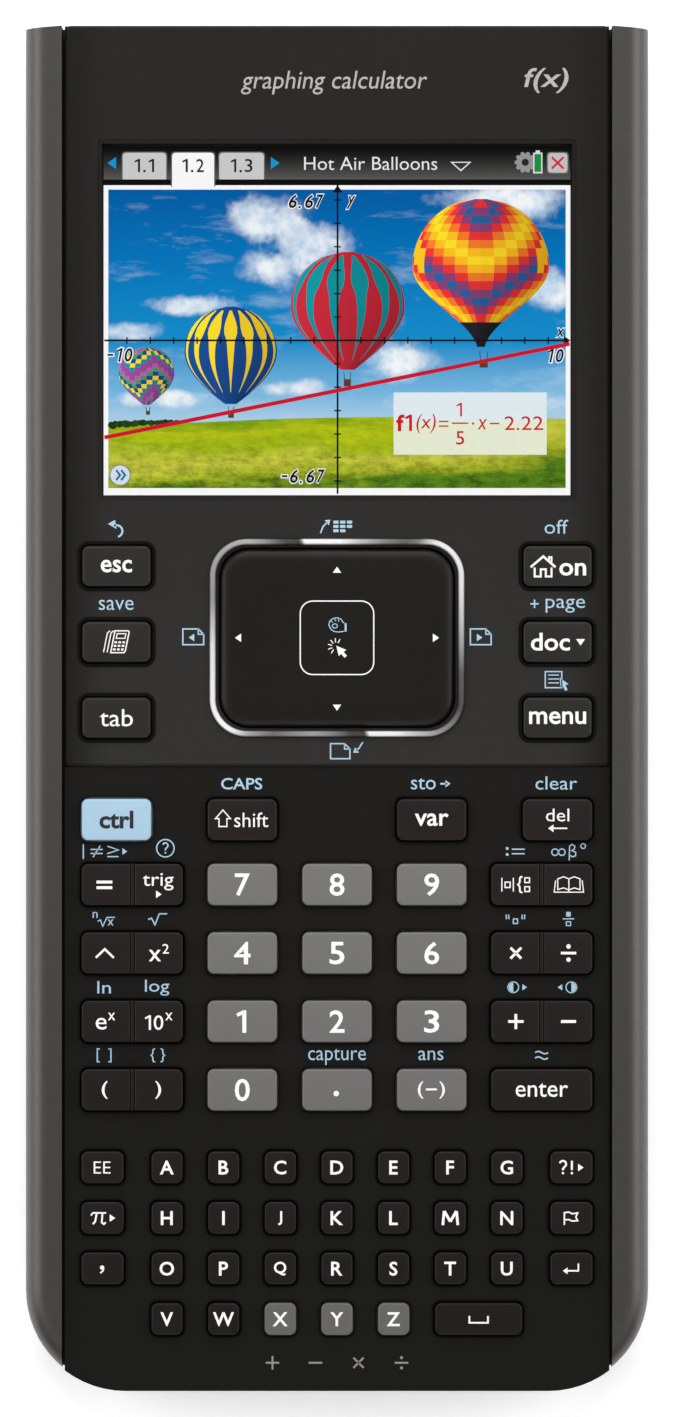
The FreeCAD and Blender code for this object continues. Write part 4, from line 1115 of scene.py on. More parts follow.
def buildRing():
    low, high = nodeRect("touchpad_ring")
    rect = (low.x, high.x, low.y, high.y)
    band, top = ringLook["band"], high.z
    rise = top - low.z
    profile = [(0.0, low.z), (0.0, top - rise * 0.45), (band * 0.06, top - 0.14), (band * 0.2, top - 0.02),
               (band * 0.5, top), (band * 0.8, top - 0.02), (band * 0.94, top - 0.14),
               (band, top - rise * 0.5), (band, low.z)]
    bm = bmesh.new()
    rings = [[(px, py, z) for px, py in roundedOutline(*rect, [ringLook["corner"]] * 4, inset, 14, 6)]
             for inset, z in profile]
    loft(bm, rings, closed=True)
    finishMesh("touchpadRingBand", bm, skins["chrome"], "body", "ring_chrome", ["touchpad_ring"])


buildTouchpad()
buildRing()
print("touchpad built")


# blue second legends and marks on the housing

def drawPage(ink, width, height, fold=0.75, line=0.19):
    w, h = width / 2, height / 2
    ink.line([(-w, -h), (w, -h), (w, h - fold), (w - fold, h), (-w, h)], line, closed=True)
    ink.line([(w - fold, h), (w - fold, h - fold), (w, h - fold)], line * 0.9)


def drawUpperLegends(ink):
    ink.at(-30.75, 24.75)  # undo
    ink.arc(0.0, 0.0, 0.82, -75, 115, 0.27)
    ink.face([(-1.2, 1.0), (0.0, 0.3), (-0.2, 1.55)])
    ink.at()
    ink.word("save", -30.8, 14.45, 4.85, 1.42, -0.004)
    ink.word("off", 30.6, 25.35, 3.3, 1.95, -0.004)
    ink.word("page", 31.85, 14.35, 5.5, 1.95, -0.004)
    ink.at(27.55, 14.6)  # plus
    ink.box(0.0, 0.0, 1.15, 0.2)
    for y in (0.35, -0.35):
        ink.box(0.0, y, 0.2, 0.5)
    ink.at(30.35, 3.95)  # list with a pointer
    ink.frame(-1.3, 1.0, -1.05, 1.2, 0.17)
    for step in range(3):
        ink.line([(-0.9, 0.72 - step * 0.55), (0.6, 0.72 - step * 0.55)], 0.15)
    ink.face([(0.7, 0.35), (0.85, -1.1), (1.15, -0.8), (1.5, -1.5), (1.8, -1.35), (1.5, -0.65),
              (1.95, -0.55)])
    for side, heading in ((-1, 180), (1, 0)):
        ink.at(side * 20.05, 10.0)
        drawPage(ink, 2.9, 2.2)
        ink.arrow(-0.2, -0.1, 0.85, heading)
    ink.at(0.45, -5.95)
    drawPage(ink, 2.7, 2.1)
    ink.at()
    ink.line([(3.6, -4.7), (3.1, -5.5), (2.65, -5.9)], 0.2)
    ink.arrow(2.55, -5.95, 0.75, 215)
    ink.line([(-2.3, 24.45), (-1.95, 25.4), (-1.35, 25.95)], 0.2)
    ink.arrow(-1.2, 26.1, 0.75, 40)
    for column, rows in enumerate((3, 3, 2)):
        for row in range(rows):
            ink.box(-0.15 + column * 0.95, 26.0 - row * 0.6, 0.72, 0.4)


legendRows = (-19.95, -29.35, -38.9, -48.4)  # heights of the small legends over the keys


def drawRelations(ink):
    # relations, help, assignment and symbols
    ink.at(0.0, legendRows[0])
    ink.line([(-35.4, -1.05), (-35.4, 1.0)], 0.17)
    for step in (0.28, -0.28):
        ink.line([(-34.4, step), (-32.7, step)], 0.17)
    ink.line([(-34.05, -0.8), (-33.05, 0.8)], 0.17)
    ink.line([(-32.05, 0.75), (-30.5, 0.2), (-32.05, -0.3)], 0.17)
    ink.line([(-32.05, -0.72), (-30.5, -0.72)], 0.17)
    ink.arrow(-29.65, 0.0, 0.75, 0)
    ink.arc(-23.95, 0.45, 1.22, 0, 360, 0.17)
    ink.question(-23.95, 0.45, 1.5, 0.19)
    for step in (0.42, -0.42):
        ink.disc(23.75, step, 0.2)
        ink.line([(24.4, step * 0.75), (26.2, step * 0.75)], 0.18)
    for side in (-1, 1):
        ink.arc(30.9 + side * 0.48, -0.1, 0.45, 0, 360, 0.16)
    ink.line([(32.4, -1.25), (32.45, 0.7), (32.8, 1.0), (33.2, 0.75), (33.1, 0.3), (32.75, 0.12),
              (33.3, -0.1), (33.3, -0.6), (32.85, -0.75), (32.45, -0.5)], 0.16)
    ink.arc(34.35, 0.75, 0.33, 0, 360, 0.15)


def drawRoots(ink):
    # roots, quotes and fraction
    ink.at(0.0, legendRows[1])
    ink.word("n", -33.75, 0.55, 0.7, 0.85, 0.0)
    ink.line([(-33.4, -0.35), (-33.0, -0.15), (-32.7, -1.05), (-32.1, 0.2), (-31.0, 0.2)], 0.15)
    ink.word("x", -31.6, -0.5, 0.85, 0.85, 0.0)
    ink.line([(-26.35, -0.1), (-25.9, 0.1), (-25.4, -0.85), (-24.8, 0.7), (-23.7, 0.7)], 0.18)
    for side in (-1, 1):
        for reach in (1.3, 0.95):
            ink.line([(24.9 + side * reach, 0.6), (24.9 + side * (reach - 0.05), -0.05)], 0.16)
    ink.frame(24.6, 25.2, -0.65, -0.02, 0.15)
    ink.box(32.3, 0.0, 1.6, 0.15)
    ink.box(32.3, 0.65, 0.65, 0.65)
    ink.frame(32.0, 32.6, -0.95, -0.4, 0.14)


def drawLogarithms(ink):
    # logarithms and contrast
    ink.at(0.0, legendRows[2])
    ink.word("ln", -32.5, 0.0, 1.9, 1.72, 0.0)
    ink.word("log", -25.1, -0.05, 3.4, 2.25, 0.0)
    for x, side, start in ((24.6, 1, 90), (32.7, -1, -90)):
        ink.arc(x, 0.0, 0.75, 0, 360, 0.15)
        ink.disc(x, 0.0, 0.72, start, start + 180)
        ink.arrow(x + side * 1.55, 0.0, 0.7, 90 - 90 * side)


def drawLowerLegends(ink):
    ink.word("CAPS", -13.3, -10.5, 5.75, 1.62, 0.012)
    ink.word("sto", 12.05, -10.5, 3.45, 1.6, 0.0)
    ink.line([(14.4, -10.5), (15.4, -10.5)], 0.24)
    ink.arrow(15.45, -10.5, 0.8, 0)
    ink.word("clear", 30.6, -10.4, 5.8, 1.85, -0.002)
    drawRelations(ink)
    drawRoots(ink)
    drawLogarithms(ink)
    ink.at(0.0, legendRows[3])  # brackets, capture, answer and about-equal
    for side in (-1, 1):
        near, far = -32.5 + side * 0.6, -32.5 + side * 0.95
        ink.line([(near, 0.9), (far, 0.9), (far, -0.9), (near, -0.9)], 0.17)
    ink.word("{", -25.7, 0.0, 0.65, 1.95, 0.0)
    ink.word("}", -24.3, 0.0, 0.65, 1.95, 0.0)
    ink.word("capture", 0.0, -0.2, 8.05, 2.3, -0.004)
    ink.word("ans", 13.1, 0.0, 3.5, 1.35, -0.003)
    for step in (0.38, -0.38):
        ink.line([(27.65 + i * 0.15, step + 0.17 * math.sin(i * math.tau / 12)) for i in range(13)], 0.19)


def drawTopMark(ink):
    ink.word("graphing calculator", -0.4, 87.3, 26.0, 3.3, 0.0, 0.18)
    ink.word("f(x)", 29.2, 87.6, 6.2, 3.5, 0.012, 0.2)


def drawBottomMark(ink):
    # the four plain signs of arithmetic
    size, stroke = 0.95, 0.26
    ink.at(0.0, -91.3)
    for x in (-9.0, -3.0, 9.0):
        ink.box(x, 0.0, size * 2, stroke)
    for side in (-1, 1):
        ink.box(-9.0, side * (size / 2 + stroke / 4), stroke, size - stroke / 2)
        ink.line([(3.0 - size * 0.75, -size * 0.75 * side), (3.0 + size * 0.75, size * 0.75 * side)], stroke)
        ink.disc(9.0, side * size * 0.75, stroke * 0.8)


def level(height):
    return lambda x, y: height


for name, draw, node, skin, slot in (
    ("upperLegends", drawUpperLegends, "upper_fascia", "blueInk", "fascia_plastic"),
    ("lowerLegends", drawLowerLegends, "front_housing", "blueInk", "front_panel_plastic"),
    ("topMark", drawTopMark, "upper_fascia", "silverInk", "fascia_plastic"),
    ("bottomMark", drawBottomMark, "front_housing", "greyInk", "front_panel_plastic"),
):
    ink = Ink()
    draw(ink)
    ink.finish(name, skin, "body", slot, level(nodeRect(node)[1].z))
print("housing legends built")


# display picture, drawn about the middle of the lit area

screen = {
    "width": 65.2,
    "height": 48.8,
    "low": 12.62,  # height of the lit panel's underside
    "sky": 0.12,  # thickness of the backing slab
    "pictureLeft": -31.95,
    "pictureRight": 31.95,
    "pictureLow": -23.4,
    "pictureHigh": 18.3,
}
windowLow, windowHigh = nodeRect("display_window")
screenX, screenY = (windowLow.x + windowHigh.x) / 2, (windowLow.y + windowHigh.y) / 2


def horizonAt(u):
    return -14.2 + 0.75 * math.cos((u - 12.0) / 22.0) + 0.012 * min(u + 8.0, 0.0)


def screenPlace(u, v):
    return (screenX + u) * toMetres, (screenY + v) * toMetres


cloudBanks = [  # place on the picture, width and height
    ((-9.5, 14.0), (8.0, 4.5)), ((-4.5, 10.5), (7.5, 5.5)), ((-9.0, 7.5), (6.5, 3.5)),
    ((24.0, 16.8), (12.0, 3.6)), ((8.5, -5.5), (7.5, 3.4)), ((-24.0, -11.0), (9.0, 1.9)),
    ((-19.0, 2.2), (9.0, 2.0)), ((-29.0, -1.5), (6.0, 1.8)), ((20.0, -11.5), (16.0, 1.8)),
    ((29.5, 4.5), (6.0, 3.5)), ((-6.0, -9.5), (9.0, 1.6))]


def skySource(tree):
    place = coordinates(tree)
    low, high = screenPlace(0.0, -15.0)[1], screenPlace(0.0, 18.3)[1]
    tone = rampNode(tree, rangeNode(tree, splitAxes(tree, place)["Y"], low, high), [
        (0.0, paint(186, 214, 236)), (0.14, paint(120, 186, 226)), (0.36, paint(20, 142, 205)),
        (0.7, paint(4, 118, 188)), (1.0, paint(2, 92, 164))])
    puff = noiseNode(tree, place, 260.0, 6.0, 0.6)
    white = rampNode(tree, puff, [(0.35, paint(176, 204, 232)), (0.6, paint(246, 250, 253))])
    for (u, v), (wide, tall) in cloudBanks:
        bank = useGroup(tree, cloudBank, Middle=(*screenPlace(u, v), screen["low"] * toMetres),
                        Spread=(wide * toMetres, tall * toMetres, 1.0), Grain=150.0)
        tone = mixColours(tree, bank.outputs[0], tone, white)
    # thin streaks blown across the whole sky
    inputs = {"Vector": place, "Rotation": (0.0, 0.0, 0.35), "Scale": (0.5, 1.7, 1.0)}
    tilted = addNode(tree, "Mapping", inputs).outputs[0]
    streak = rampNode(tree, noiseNode(tree, tilted, 110.0, 8.0, 0.68), [(0.54, 0.0), (0.77, 0.5)])
    return mixColours(tree, streak, tone, paint(214, 232, 246))


def fieldSource(tree):
    place = coordinates(tree)
    axes = splitAxes(tree, place)
    rise = rangeNode(tree, axes["Y"], screenPlace(0.0, screen["pictureLow"])[1], screenPlace(0.0, -13.5)[1])
    broad = noiseNode(tree, place, 130.0, 7.0, 0.62, (0.3, 2.0, 1.0))
    fine = noiseNode(tree, place, 700.0, 8.0, 0.75, (0.55, 1.0, 1.0))
    shift = mathNode(tree, "ADD", rise, mathNode(tree, "MULTIPLY_ADD", broad, 1.1, -0.55))
    # the grass is deeper to the right
    slope = rangeNode(tree, axes["X"], screenPlace(4.0, 0.0)[0], screenPlace(30.0, 0.0)[0], end=-0.38)
    tone = rampNode(tree, mathNode(tree, "ADD", shift, slope), [
        (0.0, paint(84, 128, 26)), (0.2, paint(160, 176, 38)), (0.45, paint(198, 200, 64)),
        (0.62, paint(160, 184, 22)), (0.82, paint(186, 198, 24)), (1.0, paint(118, 160, 20))])
    blade = rampNode(tree, fine, [(0.36, 0.3), (0.52, 0.95), (0.7, 1.5)])
    deep = rampNode(tree, rise, [(0.1, 0.9), (0.75, 0.3)])
    return mixColours(tree, deep, tone, mixColours(tree, 1.0, tone, blade, "MULTIPLY"))


def makeLitSlab(name, outline, source, lift):
    ink = Ink(screenX, screenY)
    ink.face(outline)
    skins[name] = litMaterial(name, source)
    ink.finish(name, name, "body", "display_panel", level(screen["low"] + lift), screen["sky"], 0.0)


def balloonRadius(s, taper):
    if s < 0.45:
        return math.sqrt(max(0.0, 1 - ((0.45 - s) / 0.45) ** 2)) * 0.97 + 0.03
    return max(math.cos((s - 0.45) / 0.55 * math.pi / 2), 0.0) ** taper * 0.95 + 0.05


def shaded(colour, angle, s):
    light = 1.0 - 0.30 * math.sin(angle) - 0.28 * max(0.0, s - 0.35)
    return tuple(min(1.0, c) for c in dim(colour, light))


def balloon(ink, u, top, bottom, width, taper, gores, rows, pattern):
    # a hot-air balloon of gores and rows; pattern names the colour of each panel
    tall = top - bottom
    def point(angle, s):
        return (u + width / 2 * balloonRadius(s, taper) * math.sin(angle), top - tall * s)
    for gore in range(gores):
        for row in range(rows):
            a0, a1 = (math.pi * ((gore + k) / gores - 0.5) for k in (0, 1))
            s0, s1 = ((row + k) / rows * 0.975 + 0.001 for k in (0, 1))
            ink.tint = shaded(balloonColours[pattern(gore, row)], (a0 + a1) / 2, s0)
            ink.face([point(a0, s1), point(a1, s1), point(a1, s0), point(a0, s0)])
    return point


def basket(ink, u, v, size):
    ink.tint = paint(70, 50, 40)
    for side in (-1, 1):
        ink.line([(u + side * size * 0.5, v + size * 1.5), (u + side * size * 0.38, v + size * 0.5)], 0.1)
    ink.tint = paint(92, 62, 44)
    ink.box(u, v, size, size)


def flames(ink, point, count, first, pitch, spread, high, low, colour):
    # leaf-shaped stripes: wide near the crown and drawn out towards the mouth
    steps = 14
    ink.lift += inkLook["layer"]
    for index in range(count):
        middle, left, right = math.radians(first + index * pitch), [], []
        heights = [high + (low - high) * i / steps for i in range(steps + 1)]
        for i, s in enumerate(heights):
            k = i / steps
            half = math.radians(spread) * (0.35 + 0.65 * math.sin(math.pi * k / 0.42) if k < 0.3 else
                                           0.72 - 0.14 * min((k - 0.3) / 0.1, 1.0) - 0.5 * (k - 0.3) / 0.7)
            left.append(point(middle - half, s))
            right.append(point(middle + half, s))
        for i in range(steps):
            ink.tint = shaded(colour, middle, heights[i])
            ink.face([left[i + 1], right[i + 1], right[i], left[i]])
    ink.lift -= inkLook["layer"]


balloonColours = {
    "red": paint(192, 40, 56), "teal": paint(14, 142, 152), "navy": paint(24, 72, 140),
    "yellow": paint(250, 214, 40), "gold": paint(246, 184, 30), "orange": paint(238, 118, 44),
    "scarlet": paint(226, 50, 52), "blue": paint(44, 92, 152), "plum": paint(134, 62, 112),
    "violet": paint(150, 72, 150), "green": paint(70, 150, 96), "mauve": paint(176, 96, 168),
    "black": paint(34, 32, 36),
}
zigzag = ["violet", "mauve", "green", "navy", "yellow", "teal", "violet"]
chevrons = ["scarlet", "plum", "blue", "plum", "scarlet", "orange", "gold", "yellow", "gold", "orange"]


def zigzagPatch(gore, row):
    return zigzag[(row + abs(gore % 8 - 4)) % len(zigzag)]


def chevronPatch(gore, row):
    away = abs(gore - 7.5)
    name = chevrons[int(row // 2 + away) % len(chevrons)]
    if away > 5 and name in ("plum", "blue"):
        name = "gold"
    return "black" if row > 29 else name


def drawBalloons(ink):
    # from far left to near right: zigzags, two with flames, and chevrons of small warm panels
    balloon(ink, -26.6, -3.65, -12.0, 7.8, 1.0, 14, 14, zigzagPatch)
    basket(ink, -26.4, -12.9, 0.55)
    point = balloon(ink, -14.85, 1.95, -12.0, 12.9, 0.95, 18, 20, lambda gore, row: "navy")
    flames(ink, point, 7, -72, 24, 9.5, 0.04, 0.86, balloonColours["yellow"])
    basket(ink, -14.8, -13.2, 0.8)
    point = balloon(ink, 1.5, 9.6, -7.3, 15.9, 1.0, 18, 22, lambda gore, row: "red")
    flames(ink, point, 6, -70, 28, 10.5, 0.03, 0.9, balloonColours["teal"])
    basket(ink, 1.45, -8.7, 1.0)
    balloon(ink, 20.1, 17.0, -4.2, 19.1, 1.9, 16, 36, chevronPatch)
    basket(ink, 20.5, -6.0, 1.15)


def drawLabel(ink, text, u, v, wide, tall, grow):
    # grow is how much wider the pale halo behind the figures is
    if text in "xy":
        ink.word(text, u, v, wide + grow, tall + grow, 0.016 + grow * 0.12, 0.25)
    else:
        ink.figures(text, u, v, tall, 0.28, grow, 0.018 + grow * 0.12, 0.2)


graphLook = {
    "unit": 3.27,  # distance between the ticks of the axes
    "axisX": 0.08,  # where the upright axis stands
    "axisY": -2.78,
    "line": 0.26,
    "tickWidth": 0.2,
    "tickLength": 0.95,
    "black": paint(20, 20, 22),
    "red": paint(206, 24, 46),
}


def drawGraph(ink):
    black, red, unit = graphLook["black"], graphLook["red"], graphLook["unit"]
    wide, long = graphLook["tickWidth"], graphLook["tickLength"]
    ink.on(4, black)
    ink.box(0.0, graphLook["axisY"], 65.0, graphLook["line"])
    ink.box(graphLook["axisX"], -2.65, graphLook["line"], 43.1)
    for number in range(-9, 10):
        if number:
            ink.box(graphLook["axisX"] + number * unit, graphLook["axisY"], wide, long)
    for number in range(-6, 7):
        if number:
            ink.box(graphLook["axisX"], graphLook["axisY"] + number * unit, long, wide)
    ink.arrow(graphLook["axisX"], 18.35, 1.15, 90)
    ink.arrow(32.1, graphLook["axisY"], 1.0, 0)
    for text, u, v, wide, tall in (("6.67", -4.3, 16.65, 5.2, 1.9), ("-6.67", -4.7, -21.75, 6.3, 1.9),
                                   ("-10", -30.3, -4.8, 3.4, 1.9), ("10", 30.5, -4.9, 2.7, 1.9),
                                   ("y", 1.95, 16.5, 1.25, 1.8), ("x", 31.2, -1.7, 1.2, 1.15)):
        for layer, tint, halo in ((5, paint(250, 250, 250), 0.3), (6, black, 0.0)):
            ink.on(layer, tint)
            drawLabel(ink, text, u, v, wide, tall, halo)
    ink.on(7, red)
    ink.line([(-32.5, -16.35), (32.5, -3.25)], 0.56)
    # the formula on its pale card
    ink.on(8, paint(226, 238, 242))
    ink.box(18.6, -12.05, 21.4, 4.0)
    ink.on(8, paint(232, 238, 212))
    ink.box(18.6, -16.4, 21.4, 4.7)
    ink.on(9, red)
    ink.word("f", 8.85, -14.3, 1.15, 2.35, 0.03)
    ink.one(10.0, -14.3, 2.3, 0.42)
    ink.word("(x)", 12.45, -14.4, 2.7, 2.7, 0.0, 0.15)
    for y in (-14.1, -14.75):
        ink.box(14.9, y, 1.35, 0.2)
    ink.one(17.1, -12.45, 1.9, 0.26)
    ink.box(17.2, -14.35, 2.3, 0.2)
    ink.word("5", 17.2, -16.4, 1.15, 1.9, 0.004)
    ink.disc(19.0, -14.4, 0.17)
    ink.word("x", 20.3, -14.5, 1.35, 1.45, 0.0, 0.2)
    ink.box(22.0, -14.4, 1.35, 0.2)
    ink.word("2.22", 26.1, -14.35, 5.4, 1.95, 0.0)
    # round button
    for layer, tint, radius in ((4, paint(120, 130, 138), 1.5), (5, paint(214, 226, 234), 1.36)):
        ink.on(layer, tint)
        ink.disc(-30.3, -21.6, radius)
    ink.on(6, paint(22, 112, 168))
    for shift in (-0.45, 0.25):
        ink.line([(-30.4 + shift, -20.9), (-29.85 + shift, -21.6), (-30.4 + shift, -22.3)], 0.3)


barLook = {
    "low": 19.7,
    "height": 4.66,
    "rows": 12,  # the bar darkens towards its top
    "tabs": ((-30.1, -23.7, "1.1"), (-23.2, -17.0, "1.2"), (-16.6, -10.05, "1.3")),
    "openTab": "1.2",
}


def drawStatusBar(ink):
    rows, rowHeight = barLook["rows"], barLook["height"] / barLook["rows"]
    for row in range(rows):
        tone = 12 + 74 * ((rows - 1 - row) / (rows - 1)) ** 1.1
        ink.on(2, paint(tone, tone, tone - 1))
        ink.box(0.0, barLook["low"] + rowHeight * (row + 0.5), screen["width"], rowHeight)
    ink.tint = paint(14, 14, 14)
    ink.box(0.0, 19.3, screen["width"], 0.8)
    for left, right, text in barLook["tabs"]:
        active = text == barLook["openTab"]
        for layer, tone, shrink in ((3, 96, 0.0), (4, 252 if active else 204, 0.16)):
            ink.on(layer, paint(tone, tone, tone))
            ink.face(roundedOutline(left + shrink, right - shrink, 18.7 if active else 19.72, 23.6 - shrink,
                                    [0.05, 0.05, 0.5, 0.5], 0.0, 4, 1))
        ink.on(5, paint(34, 34, 34))
        ink.figures(text, (left + right) / 2, 21.65, 1.85, 0.3, weight=0.006)
    ink.on(4, paint(20, 150, 206))
    ink.arrow(-31.4, 22.0, 1.35, 180)
    ink.arrow(-8.7, 22.0, 1.35, 0)
    ink.tint = paint(236, 236, 236)
    ink.word("Hot Air Balloons", 4.7, 21.95, 18.6, 1.85, -0.004)
    ink.line([(16.0, 22.1), (18.6, 22.1), (17.3, 20.95)], 0.17, closed=True)
    # settings wheel, charge and close
    ink.tint = paint(150, 150, 150)
    for x, y in circle(26.3, 22.1, 1.2, 10):
        ink.disc(x, y, 0.3)
    ink.on(5, paint(150, 150, 150))
    ink.disc(26.3, 22.1, 1.2)
    ink.on(6, paint(40, 40, 40))
    ink.disc(26.3, 22.1, 0.5)
    ink.on(7, paint(225, 225, 225))
    ink.box(28.05, 22.0, 1.3, 2.9)
    ink.box(28.05, 23.6, 0.6, 0.3)
    ink.on(8, paint(22, 148, 62))
    ink.box(28.05, 22.0, 0.95, 2.5)
    for layer, tone, shrink in ((4, 110, 0.0), (5, 196, 0.16)):
        ink.on(layer, paint(tone, tone, tone))
        ink.face(roundedOutline(29.3, 32.35, 20.5, 23.55, [0.45 + shrink] * 4, shrink, 4, 1))
    ink.on(6, paint(214, 40, 58))
    for side in (-1, 1):
        ink.line([(30.0, 22.02 - 0.8 * side), (31.65, 22.02 + 0.8 * side)], 0.3)


def buildScreen():
    halfWide, halfTall = screen["width"] / 2, screen["height"] / 2
    left, right = screen["pictureLeft"], screen["pictureRight"]
    low, high = screen["pictureLow"], screen["pictureHigh"]
    steps = 36
    along = [left + (right - left) * i / steps for i in range(steps + 1)]
    ridge = [(u, horizonAt(u)) for u in along[::-1]]
    makeLitSlab("screenSky", [(left, low), (right, low), (right, high), (left, high)], skySource, 0.0)
    makeLitSlab("screenField", [(left, low), (right, low)] + ridge, fieldSource, inkLook["layer"])
    surface = level(screen["low"] + screen["sky"])
    ink = Ink(screenX, screenY)
    ink.lift, ink.tint = -0.1, paint(252, 252, 252)  # the white border lies round the picture
    for x0, x1, y0, y1 in ((-halfWide, halfWide, -halfTall, low), (-halfWide, left, low, high),
                           (right, halfWide, low, high), (-halfWide, halfWide, high, 18.95)):
        ink.box((x0 + x1) / 2, (y0 + y1) / 2, x1 - x0, y1 - y0)
    ink.finish("screenBorder", "lit", "body", "display_panel", surface, screen["sky"], 0.0)
    # a dark line of trees on the left of the horizon
    ink = Ink(screenX, screenY)
    draw = random.Random(3)
    ink.lift = inkLook["layer"] * 1.5
    for i in range(34):
        u = left + 0.4 + i * 0.28
        ink.tint = paint(22 + draw.random() * 20, 52 + draw.random() * 26, 18)
        ink.disc(u, horizonAt(u) + 0.1 + draw.random() * 0.25, 0.28 + draw.random() * 0.3 * (1 - i / 40))
        ink.lift += 0.0005
    ink.lift = inkLook["layer"] * 2
    drawBalloons(ink)
    drawGraph(ink)
    drawStatusBar(ink)
    ink.finish("screenShapes", "lit", "body", "display_panel", surface, inkLook["layer"] * 0.8, 0.0)


coverLook = {
    "fit": 0.07,  # the cover nearly fills its opening
    "corner": 0.4,
    "border": (0.06, 0.01),  # depths of the printed border under the cover's face
    "borderGap": 0.2,  # from the lit area to the border
}


def buildWindow():
    # clear cover with a softly rounded rim
    low, high = windowLow, windowHigh
    material, tree, main = startMaterial("clearCover", Roughness=0.06, Alpha=0.1, Specular_IOR_Level=0.4)
    smear = noiseNode(tree, coordinates(tree), 60.0, 4.0)
    feed(tree, main.inputs, Base_Color=mixColours(tree, smear, paint(4, 5, 6), paint(12, 13, 15)))
    bm = bmesh.new()
    fit, corners = coverLook["fit"], [coverLook["corner"]] * 4
    profile = [(-fit, low.z), (-fit, high.z - 0.02), (0.02 - fit, high.z), (1.0, high.z)]
    loft(bm, plateRings((low.x, high.x, low.y, high.y), corners, profile))
    finishMesh("displayCover", bm, material, "body", "window_clear", ["display_window"])
    # the printed border round the lit area, just under the cover's face
    bm = bmesh.new()
    wide, tall = screen["width"] / 2 + coverLook["borderGap"], screen["height"] / 2 + coverLook["borderGap"]
    inner = roundedOutline(screenX - wide, screenX + wide, screenY - tall, screenY + tall, [0.05] * 4)
    outer = roundedOutline(low.x, high.x, low.y, high.y, corners, 0.01 - fit)
    under, over = (high.z - depth for depth in coverLook["border"])
    loft(bm, [[(x, y, z) for x, y in outline] for outline, z in
              ((inner, under), (outer, under), (outer, over), (inner, over))], closed=True)
    finishMesh("displayBorder", bm, skins["fascia"], "body", "window_clear")


buildScreen()
buildWindow()
print("display built")


# underside

backLook = {
    "ridges": 6,
    "ridgeLength": 14.0,
    "ridgeWidth": 0.7,
    "ridgePitch": 1.35,
    "ridgeHeight": 0.28,
    "ridgeStart": 3.2,  # from the cover's end to the first ridge
    "plate": (44.0, 20.0, 31.0),  # width, length and centre along the case of the blank label
    "plateHeight": 0.1,
    "footRadius": 3.5,
    "footSoftness": 0.35,
}


def buildUnderside():
    low, high = nodeRect("rubber_feet")
    radius, soft = backLook["footRadius"], backLook["footSoftness"]
    profile = [(radius, high.z), (radius, low.z + soft), (radius - soft * 0.1, low.z + soft * 0.5),
               (radius - soft * 0.4, low.z + soft * 0.13), (radius - soft, low.z), (radius * 0.5, low.z)]
    bm = bmesh.new()
    for x in (low.x + radius, high.x - radius):
        for y in (low.y + radius, high.y - radius):
            loft(bm, [[(px, py, z) for px, py in circle(x, y, r, 40)] for r, z in profile])
    finishMesh("softFeet", bm, skins["rubber"], "body", "foot_rubber", ["rubber_feet"])
    # grip ridges and a blank label
    low, high = nodeRect("battery_cover")
    half, width, depth = backLook["ridgeLength"] / 2, backLook["ridgeWidth"] / 2, backLook["ridgeHeight"]
    profile = [(0.0, low.z + 0.05), (0.0, low.z - depth * 0.5), (0.1, low.z - depth * 0.85),
               (0.22, low.z - depth)]
    bm = bmesh.new()
    for index in range(backLook["ridges"]):
        y = high.y - backLook["ridgeStart"] - index * backLook["ridgePitch"]
        loft(bm, plateRings((-half, half, y - width, y + width), [0.34] * 4, profile))
    finishMesh("coverRidges", bm, skins["cover"], "body", "rear_shell_plastic")
    wide, long, y = backLook["plate"]
    base, depth = nodeRect("rear_housing")[0].z, backLook["plateHeight"]
    bm = bmesh.new()
    profile = [(0.0, base + 0.05), (0.0, base - depth * 0.6), (0.08, base - depth), (0.6, base - depth)]
    loft(bm, plateRings((-wide / 2, wide / 2, y - long / 2, y + long / 2), [1.5] * 4, profile))
    finishMesh("blankLabel", bm, skins["label"], "body", "rear_shell_plastic")


buildUnderside()
print("underside built")


# light, floor and camera

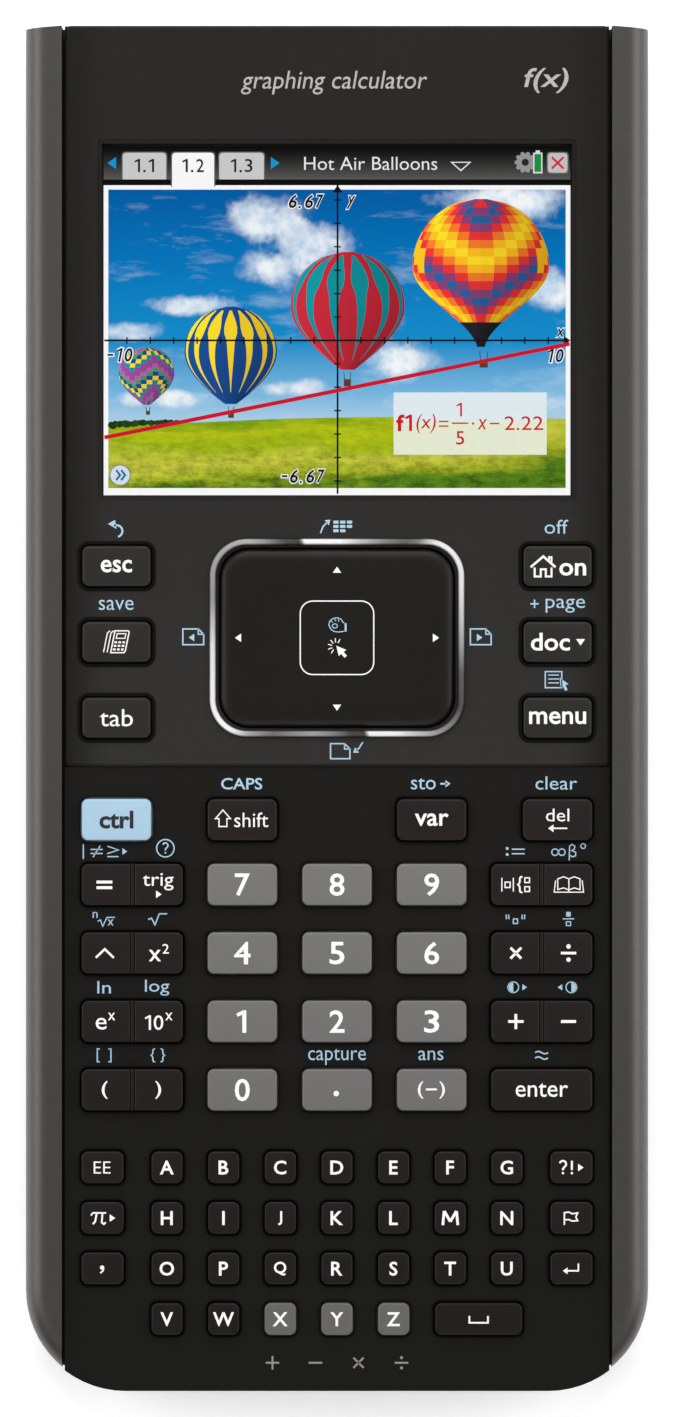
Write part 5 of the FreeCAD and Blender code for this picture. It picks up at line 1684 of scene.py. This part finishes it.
studio = {
    "floor": (254, 254, 254),
    "floorSize": 2.4,
    "glow": 0.3,
    "world": 0.13,
    "lamps": [  # place in metres, size, strength
        ((0.0, 0.85, 0.75), 0.9, 9.3),
        ((-0.9, 0.1, 0.7), 0.8, 6.6),
        ((0.9, 0.1, 0.7), 0.8, 6.6),
        ((0.0, -0.9, 0.8), 0.8, 3.6),
    ],
}
viewpoint = {
    "lens": 200.0,
    "sensor": 36.0,
    "frameHeight": 0.19767,  # how much of the case's top face the picture's long side takes in
    "faceHeight": 0.0144,
}


def buildStudio():
    bm = bmesh.new()
    half = studio["floorSize"] / 2 / toMetres
    prism(bm, [(-half, -half), (half, -half), (half, half), (-half, half)], (-4.0, 0.0))
    bm.transform(Matrix.Scale(toMetres, 4))
    mesh = bpy.data.meshes.new("studioFloor")
    bm.to_mesh(mesh)
    bm.free()
    floor = bpy.data.objects.new("studioFloor", mesh)
    bpy.context.scene.collection.objects.link(floor)
    paper = plastic("floorPaper", studio["floor"], gloss=0.8, grain=300.0, drift=0.02, bump=0.02, sheen=0.1)
    shader = paper.node_tree.nodes["Principled BSDF"]
    shader.inputs["Emission Color"].default_value = grey(1.0)
    shader.inputs["Emission Strength"].default_value = studio["glow"]  # softens the shadows
    mesh.materials.append(paper)
    world = bpy.data.worlds.new("studioWorld")
    world.use_nodes = True
    world.node_tree.nodes["Background"].inputs[0].default_value = grey(1.0)
    world.node_tree.nodes["Background"].inputs[1].default_value = studio["world"]
    bpy.context.scene.world = world
    for index, (place, size, power) in enumerate(studio["lamps"]):
        lamp = bpy.data.lights.new(f"softLamp{index}", "AREA")
        lamp.shape = "SQUARE"
        lamp.size, lamp.energy = size, power
        holder = bpy.data.objects.new(f"softLamp{index}", lamp)
        holder.location = place
        holder.rotation_euler = (-Vector(place)).to_track_quat("-Z", "Y").to_euler()
        bpy.context.scene.collection.objects.link(holder)


def buildCamera():
    lens = bpy.data.cameras.new("topCamera")
    lens.lens, lens.sensor_width = viewpoint["lens"], viewpoint["sensor"]
    camera = bpy.data.objects.new("topCamera", lens)
    away = viewpoint["lens"] / viewpoint["sensor"] * viewpoint["frameHeight"]
    camera.location = (0.0, 0.0, viewpoint["faceHeight"] + away)
    bpy.context.scene.collection.objects.link(camera)
    bpy.context.scene.camera = camera


buildStudio()
buildCamera()
bpy.context.scene.view_settings.view_transform = "Standard"
print("studio built")
